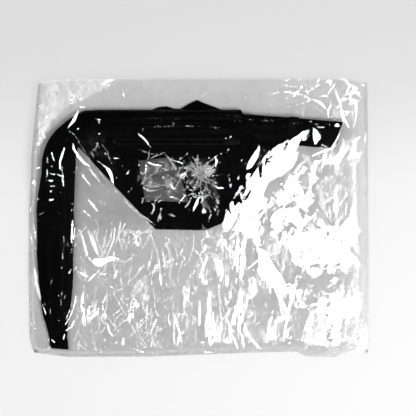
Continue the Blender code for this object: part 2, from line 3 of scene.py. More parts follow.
import bmesh
import bpy
import numpy as np
from mathutils import Matrix, Vector, geometry, noise
from mathutils.bvhtree import BVHTree


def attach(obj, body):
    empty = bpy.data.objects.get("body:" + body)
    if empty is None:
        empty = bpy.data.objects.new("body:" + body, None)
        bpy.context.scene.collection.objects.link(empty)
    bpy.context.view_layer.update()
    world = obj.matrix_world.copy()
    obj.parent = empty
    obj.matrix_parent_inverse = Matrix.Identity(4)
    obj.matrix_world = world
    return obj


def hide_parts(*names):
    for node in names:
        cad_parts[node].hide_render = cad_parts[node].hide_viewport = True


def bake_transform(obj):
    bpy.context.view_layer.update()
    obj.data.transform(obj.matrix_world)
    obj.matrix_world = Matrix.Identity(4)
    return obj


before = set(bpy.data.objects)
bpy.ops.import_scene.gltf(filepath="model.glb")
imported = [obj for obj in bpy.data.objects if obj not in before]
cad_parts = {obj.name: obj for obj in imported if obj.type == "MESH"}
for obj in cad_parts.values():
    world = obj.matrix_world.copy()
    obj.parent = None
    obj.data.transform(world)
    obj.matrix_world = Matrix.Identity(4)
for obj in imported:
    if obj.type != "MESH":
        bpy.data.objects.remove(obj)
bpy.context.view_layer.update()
scene = bpy.context.scene
mm = 0.001  # lengths below are in millimetres unless a line says otherwise
print("frame loaded:", len(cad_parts), "nodes")


# nodes and materials

def addNode(tree, kind, setup=None, feeds=None):
    made = tree.nodes.new("ShaderNode" + kind)
    for name, value in (setup or {}).items():
        if isinstance(name, str) and name[0].islower():
            setattr(made, name, value)
        else:
            made.inputs[name].default_value = value
    for name, source in (feeds or {}).items():
        tree.links.new(source, made.inputs[name])
    return made


def mathNode(tree, operation, *values):
    made = addNode(tree, "Math", {"operation": operation})
    for i, value in enumerate(values):
        if isinstance(value, bpy.types.NodeSocket):
            tree.links.new(value, made.inputs[i])
        else:
            made.inputs[i].default_value = value
    return made.outputs[0]


def mixColour(tree, factor, first, second):
    made = addNode(tree, "Mix", {"data_type": "RGBA", 6: (*first, 1), 7: (*second, 1)}, {0: factor})
    return made.outputs[2]


def newMaterial(name):
    made = bpy.data.materials.new(name)
    made.use_nodes = True
    return made, made.node_tree, made.node_tree.nodes["Principled BSDF"]


def newGroup(name, inputs, outputs):
    tree = bpy.data.node_groups.new(name, "ShaderNodeTree")
    for label, kind in inputs:
        tree.interface.new_socket(label, in_out="INPUT", socket_type="NodeSocket" + kind)
    for label, kind in outputs:
        tree.interface.new_socket(label, in_out="OUTPUT", socket_type="NodeSocket" + kind)
    start = tree.nodes.new("NodeGroupInput")
    end = tree.nodes.new("NodeGroupOutput")
    return tree, start.outputs, end.inputs


def useGroup(tree, group, setup, feeds):
    made = tree.nodes.new("ShaderNodeGroup")
    made.node_tree = group
    for name, value in setup.items():
        made.inputs[name].default_value = value
    for name, source in feeds.items():
        tree.links.new(source, made.inputs[name])
    return made.outputs


def makeWeave():
    # threads over and under each other, as a height
    tree, given, out = newGroup("plainWeave", [("Vector", "Vector"), ("Threads", "Float")],
                                [("Height", "Float")])
    scaled = addNode(tree, "VectorMath", {"operation": "SCALE"},
                     {0: given["Vector"], "Scale": given["Threads"]})
    split = addNode(tree, "SeparateXYZ", feeds={0: scaled.outputs[0]})

    def thread(axis):
        turned = mathNode(tree, "MULTIPLY", split.outputs[axis], math.pi)
        return mathNode(tree, "ABSOLUTE", mathNode(tree, "SINE", turned))
    over = addNode(tree, "TexChecker", {"Scale": 1.0}, {"Vector": scaled.outputs[0]})
    pick = addNode(tree, "Mix", {}, {0: over.outputs["Fac"], 2: thread(0), 3: thread(1)})
    tree.links.new(pick.outputs[0], out["Height"])
    return tree


def makeCreases():
    # small sharp creases and a cloudy mask
    tree, given, out = newGroup("fineCreases", [("Vector", "Vector"), ("Scale", "Float")],
                                [("Height", "Float"), ("Cloud", "Float")])
    scaled = {"Vector": given["Vector"], "Scale": given["Scale"]}
    bent = addNode(tree, "TexNoise", {"Detail": 3.0}, scaled)
    ridge = mathNode(tree, "ABSOLUTE", mathNode(tree, "SUBTRACT", bent.outputs["Fac"], 0.5))
    cells = addNode(tree, "TexVoronoi", {"feature": "F2"}, scaled)
    height = mathNode(tree, "MULTIPLY_ADD", ridge, -2.2, cells.outputs["Distance"])
    slow = mathNode(tree, "MULTIPLY", given["Scale"], 0.16)
    patch = addNode(tree, "TexNoise", {"Detail": 5.0, "Roughness": 0.62},
                    {"Vector": given["Vector"], "Scale": slow})
    cloud = addNode(tree, "MapRange", {"From Min": 0.42, "From Max": 0.72}, {"Value": patch.outputs["Fac"]})
    tree.links.new(height, out["Height"])
    tree.links.new(cloud.outputs["Result"], out["Cloud"])
    return tree


glints = {
    # kind of shining area: direction in degrees, stretch along it, features per metre, share of flat shards
    "kinds": (("Slant", 53, 6.0, 150.0, 0.0), ("Up", 88, 8.0, 220.0, 0.0), ("Net", 40, 1.7, 135.0, 0.8)),
    # thin lines: direction, stretch, lines per metre
    "threads": ((84, 5.0, 75.0), (118, 4.0, 95.0), (52, 4.0, 105.0)), "threadShare": 0.13,
    "bendScale": 45.0, "bend": (0.016, 0.016, 0.0),  # noise that bends all of them, in metres
    "longWave": 2.3, "shortWave": 1.1, "splitWidth": (0.016, 0.004), "split": -0.55,
    "strokeScale": 620.0, "strokeWave": 1.2,
    "softTurn": 84, "softStretch": 4.0, "softScale": 480.0, "softWave": 1.4,
    # from where to where each of them turns from none to full
    "lit": (0.68, 0.84), "stroke": (0.5, 0.9), "soft": (0.42, 0.85), "line": (0.024, 0.004),
    "patch": (0.12, 0.24),
}


def drawOut(tree, vector, turn, stretch):
    made = addNode(tree, "Mapping", {"vector_type": "TEXTURE", "Rotation": (0, 0, math.radians(turn)),
                                     "Scale": (stretch, 1, 1)}, {"Vector": vector})
    return made.outputs[0]


def makeGlints():
    # painted highlights: where the small creases of the film are leaned towards the lamp, so that they glint
    kinds = ["Slant", "Up", "Net", "Stroke", "Soft", "Threads"]
    tree, given, out = newGroup("filmGlints", [("Vector", "Vector")] + [(name, "Float") for name in kinds],
                                [("Lit", "Float"), ("Soft", "Float")])
    push = addNode(tree, "TexNoise", {"Detail": 2.0, "Scale": glints["bendScale"]},
                   {"Vector": given["Vector"]})
    bent = addNode(tree, "VectorMath", {"operation": "MULTIPLY_ADD", 1: glints["bend"]},
                   {0: push.outputs["Color"], 2: given["Vector"]}).outputs[0]

    def above(value, low, high):
        made = addNode(tree, "MapRange", {"From Min": low, "From Max": high}, {"Value": value})
        return made.outputs["Result"]

    def wave(vector, scale, detail):
        made = addNode(tree, "TexNoise", {"Detail": detail, "Roughness": 0.6, "Scale": scale},
                       {"Vector": vector})
        return mathNode(tree, "SUBTRACT", made.outputs["Fac"], 0.5)

    def most(values):
        top = values[0]
        for value in values[1:]:
            top = mathNode(tree, "MAXIMUM", top, value)
        return top

    strong = []
    for name, turn, stretch, scale, shards in glints["kinds"]:
        laid = drawOut(tree, bent, turn, stretch)
        value = mathNode(tree, "MULTIPLY_ADD", wave(laid, scale, 3.0), glints["longWave"], given[name])
        value = mathNode(tree, "MULTIPLY_ADD", wave(laid, scale * 3.6, 2.0), glints["shortWave"], value)
        split = above(mathNode(tree, "ABSOLUTE", wave(laid, scale * 1.7, 2.0)), *glints["splitWidth"])
        value = mathNode(tree, "MULTIPLY_ADD", split, glints["split"], value)
        cells = addNode(tree, "TexVoronoi", {"Scale": scale * 0.8}, {"Vector": laid}).outputs["Color"]
        value = mathNode(tree, "MULTIPLY_ADD", mathNode(tree, "SUBTRACT", cells, 0.5), shards, value)
        strong.append(above(value, *glints["lit"]))
    ragged = wave(bent, glints["strokeScale"], 2.0)
    ragged = mathNode(tree, "MULTIPLY_ADD", ragged, glints["strokeWave"], given["Stroke"])
    strong.append(above(ragged, *glints["stroke"]))
    tree.links.new(most(strong), out["Lit"])
    brushed = wave(drawOut(tree, bent, glints["softTurn"], glints["softStretch"]), glints["softScale"], 3.0)
    brushed = mathNode(tree, "MULTIPLY_ADD", brushed, glints["softWave"], given["Soft"])
    faint = [above(brushed, *glints["soft"])]
    for turn, stretch, scale in glints["threads"]:
        off = mathNode(tree, "ABSOLUTE", wave(drawOut(tree, bent, turn, stretch), scale, 1.5))
        spread = wave(given["Vector"], scale * 0.55, 3.0)
        patch = mathNode(tree, "MULTIPLY_ADD", given["Threads"], glints["threadShare"], spread)
        faint.append(mathNode(tree, "MULTIPLY", above(off, *glints["line"]), above(patch, *glints["patch"])))
    tree.links.new(most(faint), out["Soft"])
    return tree


weave = makeWeave()
filmGlints = makeGlints()
creases = makeCreases()


def clothLook(name, dark, pale, rough, threads, weaveDepth, foldDepth, useUv=True, gloss=0.04):
    look, tree, shader = newMaterial(name)
    coords = addNode(tree, "TexCoord")
    place = coords.outputs["UV" if useUv else "Object"]
    cloth = useGroup(tree, weave, {"Threads": threads}, {"Vector": place})
    folds = useGroup(tree, creases, {"Scale": 90.0}, {"Vector": coords.outputs["Object"]})
    # paler and smoother on the raised threads of the weave, in cloudy patches
    raisedThreadShare = mathNode(tree, "MULTIPLY", folds["Cloud"], cloth["Height"])
    tree.links.new(mixColour(tree, raisedThreadShare, dark, pale), shader.inputs["Base Color"])
    roughness = addNode(tree, "MapRange", {"To Min": rough, "To Max": rough - 0.16}, {"Value": raisedThreadShare})
    tree.links.new(roughness.outputs["Result"], shader.inputs["Roughness"])
    soft = addNode(tree, "Bump", {"Strength": 0.5, "Distance": foldDepth * mm}, {"Height": folds["Height"]})
    fine = addNode(tree, "Bump", {"Strength": 0.6, "Distance": weaveDepth * mm},
                   {"Height": cloth["Height"], "Normal": soft.outputs[0]})
    tree.links.new(fine.outputs[0], shader.inputs["Normal"])
    shader.inputs["Specular IOR Level"].default_value = gloss
    return look


def hardLook(name, dark, pale, rough, metallic, grain):
    look, tree, shader = newMaterial(name)
    coords = addNode(tree, "TexCoord")
    marks = useGroup(tree, creases, {"Scale": grain}, {"Vector": coords.outputs["Object"]})
    tree.links.new(mixColour(tree, marks["Cloud"], dark, pale), shader.inputs["Base Color"])
    roughness = addNode(tree, "MapRange", {"To Min": rough, "To Max": rough + 0.2}, {"Value": marks["Cloud"]})
    tree.links.new(roughness.outputs["Result"], shader.inputs["Roughness"])
    bump = addNode(tree, "Bump", {"Strength": 0.25, "Distance": 0.05 * mm}, {"Height": marks["Height"]})
    tree.links.new(bump.outputs[0], shader.inputs["Normal"])
    shader.inputs["Metallic"].default_value = metallic
    shader.inputs["Specular IOR Level"].default_value = 0.12
    return look


plainFilm = {"thick": 0.0, "grain": 0.0, "haze": 0.0, "lit": 0.0, "blur": 0.0, "soft": 0.1, "streak": 0.05,
             "lean": ((0, 0), (0, 0))}
filmLooks = {
    "clearFilm": {
        "tone": 0.54, "clear": 0.060, "thick": 0.21, "edge": 0.10, "cloud": 0.05, "grain": 0.075,
        "haze": 0.36, "lit": 0.16, "blur": 0.36, "rough": 0.03, "soft": 0.36, "scale": 150.0,
        "depth": 0.09, "streak": 0.16,
        # painted highlights: how the leaned normal's aim changes across x and y, so that it mirrors the key
        # lamp into the camera above
        "lean": ((-0.6, 0.23), (-0.62, -0.112)),
    },
    "backFilm": {**plainFilm, "tone": 0.72, "clear": 0.070, "edge": 0.20, "cloud": 0.03, "rough": 0.10,
                 "scale": 70.0, "depth": 0.18},
    "weldedFilm": {**plainFilm, "tone": 0.6, "clear": 0.04, "edge": 0.06, "cloud": 0.05, "rough": 0.25,
                   "scale": 300.0, "depth": 0.2},
}


def filmLook(name):
    made = filmLooks[name]
    look, tree, shader = newMaterial(name)
    coords = addNode(tree, "TexCoord").outputs["Object"]
    marks = ("haze", "slack", "thick", "milk", "shineSlant", "shineUp", "shineNet", "stroke", "soft")
    kept = {mark: addNode(tree, "Attribute", {"attribute_name": mark}).outputs["Fac"] for mark in marks}

    def creased(times, vector):
        return useGroup(tree, creases, {"Scale": made["scale"] * times}, {"Vector": vector})
    fine, tiny = creased(1.0, coords), creased(3.4, coords)
    pulled = creased(2.6, drawOut(tree, coords, 84, 7.0))
    wisp = creased(2.8, drawOut(tree, coords, 96, 3.0))
    threads = mathNode(tree, "MULTIPLY", kept["milk"], 0.9)
    threads = mathNode(tree, "MULTIPLY_ADD", kept["haze"], 0.45, threads)
    glint = useGroup(tree, filmGlints, {}, {
        "Vector": coords, "Slant": kept["shineSlant"], "Up": kept["shineUp"], "Net": kept["shineNet"],
        "Stroke": kept["stroke"], "Soft": kept["soft"], "Threads": threads})
    lit = glint["Lit"]
    soft = mathNode(tree, "MULTIPLY", glint["Soft"], mathNode(tree, "SUBTRACT", 1.0, lit))
    facing = addNode(tree, "LayerWeight", {"Blend": 0.35}).outputs["Facing"]
    milk = mathNode(tree, "MULTIPLY", wisp["Cloud"], kept["milk"])
    veil = mathNode(tree, "MULTIPLY", kept["haze"], mathNode(tree, "MULTIPLY_ADD", tiny["Cloud"], 0.9, 0.3))
    edge = mathNode(tree, "MULTIPLY", mathNode(tree, "POWER", facing, 3.0), made["edge"])
    cloud = mathNode(tree, "MULTIPLY_ADD", fine["Cloud"], made["cloud"], edge)
    cloud = mathNode(tree, "MULTIPLY_ADD", tiny["Cloud"], made["grain"], cloud)
    dull = mathNode(tree, "MULTIPLY_ADD", veil, made["haze"], cloud)
    # painted highlight: the film is made more reflective where lit
    dull = mathNode(tree, "MULTIPLY_ADD", lit, made["lit"], dull)
    # alpha from the film's density, which holds painted shade beside the left sleeve
    body = mathNode(tree, "MULTIPLY_ADD", kept["thick"], made["thick"], made["clear"])
    tree.links.new(mathNode(tree, "ADD", dull, body), shader.inputs["Alpha"])
    rough = mathNode(tree, "MULTIPLY_ADD", milk, made["soft"], made["rough"])
    rough = mathNode(tree, "MULTIPLY_ADD", soft, made["blur"], rough)
    tree.links.new(mathNode(tree, "MULTIPLY_ADD", veil, 0.55, rough), shader.inputs["Roughness"])
    height = mathNode(tree, "MULTIPLY_ADD", tiny["Height"], 0.3, fine["Height"])
    bump = addNode(tree, "Bump", {"Strength": 0.5, "Distance": made["depth"] * mm}, {"Height": height})
    lines = mathNode(tree, "MULTIPLY", pulled["Height"], kept["slack"])
    streak = addNode(tree, "Bump", {"Strength": 0.6, "Distance": made["streak"] * mm},
                     {"Height": lines, "Normal": bump.outputs[0]})
    place = addNode(tree, "SeparateXYZ", feeds={0: coords}).outputs
    # painted highlights: where lit or soft, the normal turns to a fixed aim that mirrors the key lamp into
    # the camera above
    leanX, leanY = (mathNode(tree, "MULTIPLY_ADD", place[i], *made["lean"][i]) for i in (0, 1))
    aim = addNode(tree, "CombineXYZ", {2: 1.0}, {0: leanX, 1: leanY})
    leant = mathNode(tree, "ADD", lit, soft)
    mixed = addNode(tree, "Mix", {"data_type": "VECTOR"}, {0: leant, 4: streak.outputs[0], 5: aim.outputs[0]})
    normal = addNode(tree, "VectorMath", {"operation": "NORMALIZE"}, {0: mixed.outputs[1]})
    tree.links.new(normal.outputs[0], shader.inputs["Normal"])
    shader.inputs["Base Color"].default_value = (made["tone"], made["tone"] * 1.005, made["tone"] * 1.01, 1)
    shader.inputs["Metallic"].default_value = 1.0
    return look


blackCloth = (0.0003, 0.0003, 0.00034), (0.0014, 0.0014, 0.0016)
looks = {
    # dark and pale tone, roughness, threads per metre, depth of the weave and of the folds
    "shell": clothLook("blackCloth", *blackCloth, 0.42, 2200.0, 0.06, 1.1),
    "plainShell": clothLook("blackFacing", *blackCloth, 0.5, 2200.0, 0.06, 0.3, useUv=False),
    "lining": clothLook("blackLining", [0.003] * 3, [0.008] * 3, 0.8, 1500.0, 0.08, 0.4, useUv=False),
    "tape": clothLook("blackTape", [0.0004] * 3, (0.0016, 0.0016, 0.0017), 0.6, 1200.0, 0.12, 0.1,
                      useUv=False),
    "elastic": clothLook("blackElastic", [0.0025] * 3, [0.009] * 3, 0.75, 900.0, 0.2, 0.2),
    "label": clothLook("greyPatch", (0.13, 0.13, 0.133), [0.34] * 3, 0.6, 1400.0, 0.06, 0.3),
    # dark and pale tone, roughness, metallic, marks per metre
    "thread": hardLook("blackThread", [0.004] * 3, [0.012] * 3, 0.6, 0.0, 900.0),
    "teeth": hardLook("blackTeeth", [0.002] * 3, [0.008] * 3, 0.45, 0.0, 700.0),
    "metal": hardLook("blackLacquer", [0.008] * 3, [0.04] * 3, 0.3, 0.6, 500.0),
    "film": filmLook("clearFilm"),
    "back": filmLook("backFilm"),
    "weld": filmLook("weldedFilm"),
}
print("materials ready:", len(looks))


# camera straight above, floor and soft light
shot = {"aim": (12.0, 13.0), "height": 1700.0, "span": 524.0, "sensor": 36.0}
studio = {
    "floorHalf": 20.0,  # metres
    # painted shade: the floor's back tone is darker, standing in for the lamps' light falling off towards the
    # back
    "floorFront": (0.91, 0.91, 0.908), "floorShadedBack": (0.80, 0.80, 0.798), "floorRough": 0.85,
    "paleUpTo": 0.02, "dimFrom": 0.20,  # where along y the floor turns from front to back tone
    "horizon": (0.80, 0.80, 0.80), "ceiling": (0.012, 0.012, 0.013), "fadeFrom": 0.12, "fadeTo": 0.62,
    "lamps": [  # name, place in metres, width, height, watts, turn of the long side
        ("keySoftbox", (0.74, -0.36, 1.50), 0.52, 0.95, 19.0, 64.0),
        ("fillLeft", (-1.25, 0.45, 1.30), 1.7, 1.7, 15.0, 0.0),
        ("fillFront", (-0.35, -1.50, 1.20), 2.0, 1.1, 7.0, 0.0),
    ],
}


def makeStudio():
    data = bpy.data.cameras.new("shotCamera")
    data.sensor_width = shot["sensor"]
    data.lens = shot["sensor"] * shot["height"] / shot["span"]
    camera = bpy.data.objects.new("shotCamera", data)
    camera.location = (shot["aim"][0] * mm, shot["aim"][1] * mm, shot["height"] * mm)
    scene.collection.objects.link(camera)
    scene.camera = camera

    shape = bmesh.new()
    bmesh.ops.create_grid(shape, x_segments=4, y_segments=4, size=studio["floorHalf"])
    mesh = bpy.data.meshes.new("paleFloor")
    shape.to_mesh(mesh)
    shape.free()
    floor = bpy.data.objects.new("paleFloor", mesh)
    floor.location.z = -0.5 * mm
    scene.collection.objects.link(floor)
    look, tree, shader = newMaterial("paleFloor")
    # painted shade: the floor darkens from its front tone to its back tone along y
    along = addNode(tree, "SeparateXYZ", feeds={0: addNode(tree, "TexCoord").outputs["Object"]}).outputs["Y"]
    share = addNode(tree, "MapRange", {"interpolation_type": "SMOOTHSTEP", "From Min": studio["paleUpTo"],
                                       "From Max": studio["dimFrom"]}, {"Value": along})
    tone = mixColour(tree, share.outputs["Result"], studio["floorFront"], studio["floorShadedBack"])
    tree.links.new(tone, shader.inputs["Base Color"])
    shader.inputs["Roughness"].default_value = studio["floorRough"]
    shader.inputs["Specular IOR Level"].default_value = 0.1
    mesh.materials.append(look)

    world = bpy.data.worlds.new("paleRoom")
    world.use_nodes = True
    scene.world = world
    tree = world.node_tree
    coords = addNode(tree, "TexCoord")
    split = addNode(tree, "SeparateXYZ", feeds={0: coords.outputs["Generated"]})
    share = addNode(tree, "MapRange", {"interpolation_type": "SMOOTHSTEP", "From Min": studio["fadeFrom"],
                                       "From Max": studio["fadeTo"]}, {"Value": split.outputs["Z"]})
    tone = mixColour(tree, share.outputs["Result"], studio["horizon"], studio["ceiling"])
    tree.links.new(tone, tree.nodes["Background"].inputs["Color"])

    for name, place, width, height, watts, turn in studio["lamps"]:
        lamp = bpy.data.lights.new(name, "AREA")
        lamp.shape = "RECTANGLE"
        lamp.size, lamp.size_y = width, height
        lamp.energy = watts
        made = bpy.data.objects.new(name, lamp)
        made.visible_glossy = name == "keySoftbox"
        made.location = place
        made.rotation_euler = (-Vector(place)).to_track_quat("-Z", "Y").to_euler()
        made.rotation_euler.rotate_axis("Z", math.radians(turn))
        scene.collection.objects.link(made)


scene.view_settings.view_transform = "Standard"
makeStudio()
print("studio ready")


# shared ways of making a piece

def newPiece(name, shape, look, body=None, swap=()):
    mesh = bpy.data.meshes.new(name)
    shape.to_mesh(mesh)
    shape.free()
    mesh.materials.append(look)
    made = bpy.data.objects.new(name, mesh)
    scene.collection.objects.link(made)
    if swap:
        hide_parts(*swap)
    if body:
        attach(made, body)
    return made


def soften(a, b, x):
    t = np.clip((x - a) / (b - a), 0.0, 1.0)
    return t * t * (3.0 - 2.0 * t)


def curveAt(rows, share):
    # smooth curve through rows of numbers, share 0 to 1
    t = min(max(share, 0.0), 1.0) * (len(rows) - 1)
    i = min(int(t), len(rows) - 2)
    f = t - i
    near = [rows[min(max(i + k, 0), len(rows) - 1)] for k in (-1, 0, 1, 2)]
    return [0.5 * (2 * b + (c - a) * f + (2 * a - 5 * b + 4 * c - d) * f * f
                   + (3 * b - a - 3 * c + d) * f ** 3)
            for a, b, c, d in zip(*near)]


def fold(x, y, acrossX, acrossY, seed):
    return noise.noise((x / acrossX, y / acrossY, seed * 7.31))


def clothGrid(across, along, width, length, place):
    # a grid with the cloth's flat size as its uv, laid by place(u, v) in millimetres
    shape = bmesh.new()
    bmesh.ops.create_grid(shape, x_segments=across, y_segments=along, size=0.5)
    uv = shape.loops.layers.uv.new("clothUv")
    for face in shape.faces:
        face.smooth = True
        for loop in face.loops:
            loop[uv].uv = ((loop.vert.co.x + 0.5) * width * mm, (loop.vert.co.y + 0.5) * length * mm)
    for vert in shape.verts:
        vert.co = Vector(place(vert.co.x + 0.5, vert.co.y + 0.5)) * mm
    return shape


def closeTube(shape):
    bmesh.ops.remove_doubles(shape, verts=shape.verts, dist=1e-6)
    rims = [edge for edge in shape.edges if edge.is_boundary]
    ends = bmesh.ops.holes_fill(shape, edges=rims, sides=0)["faces"]
    bmesh.ops.recalc_face_normals(shape, faces=shape.faces)
    return ends


def thicken(shape, thick):
    bmesh.ops.recalc_face_normals(shape, faces=shape.faces)
    up = sum(face.normal.z * face.calc_area() for face in shape.faces)
    if up < 0:
        bmesh.ops.reverse_faces(shape, faces=shape.faces)
    bmesh.ops.solidify(shape, geom=shape.faces, thickness=thick * mm)


def stitchRow(shape, path, pitch, long, wide, high):
    # path is a list of (x, y, z) in millimetres, one low bead of thread each pitch
    points = [Vector(p) for p in path]
    for start, end in zip(points, points[1:]):
        run = end - start
        count = max(int(run.length / pitch), 1)
        turn = run.to_track_quat("X", "Z").to_matrix().to_4x4()
        for i in range(count):
            spot = Matrix.Translation((start + run * (i + 0.5) / count) * mm)
            size = Matrix.Diagonal((long * mm / 2, wide * mm / 2, high * mm / 2, 1))
            bmesh.ops.create_uvsphere(shape, u_segments=6, v_segments=4, radius=1.0,
                                      matrix=spot @ turn @ size)


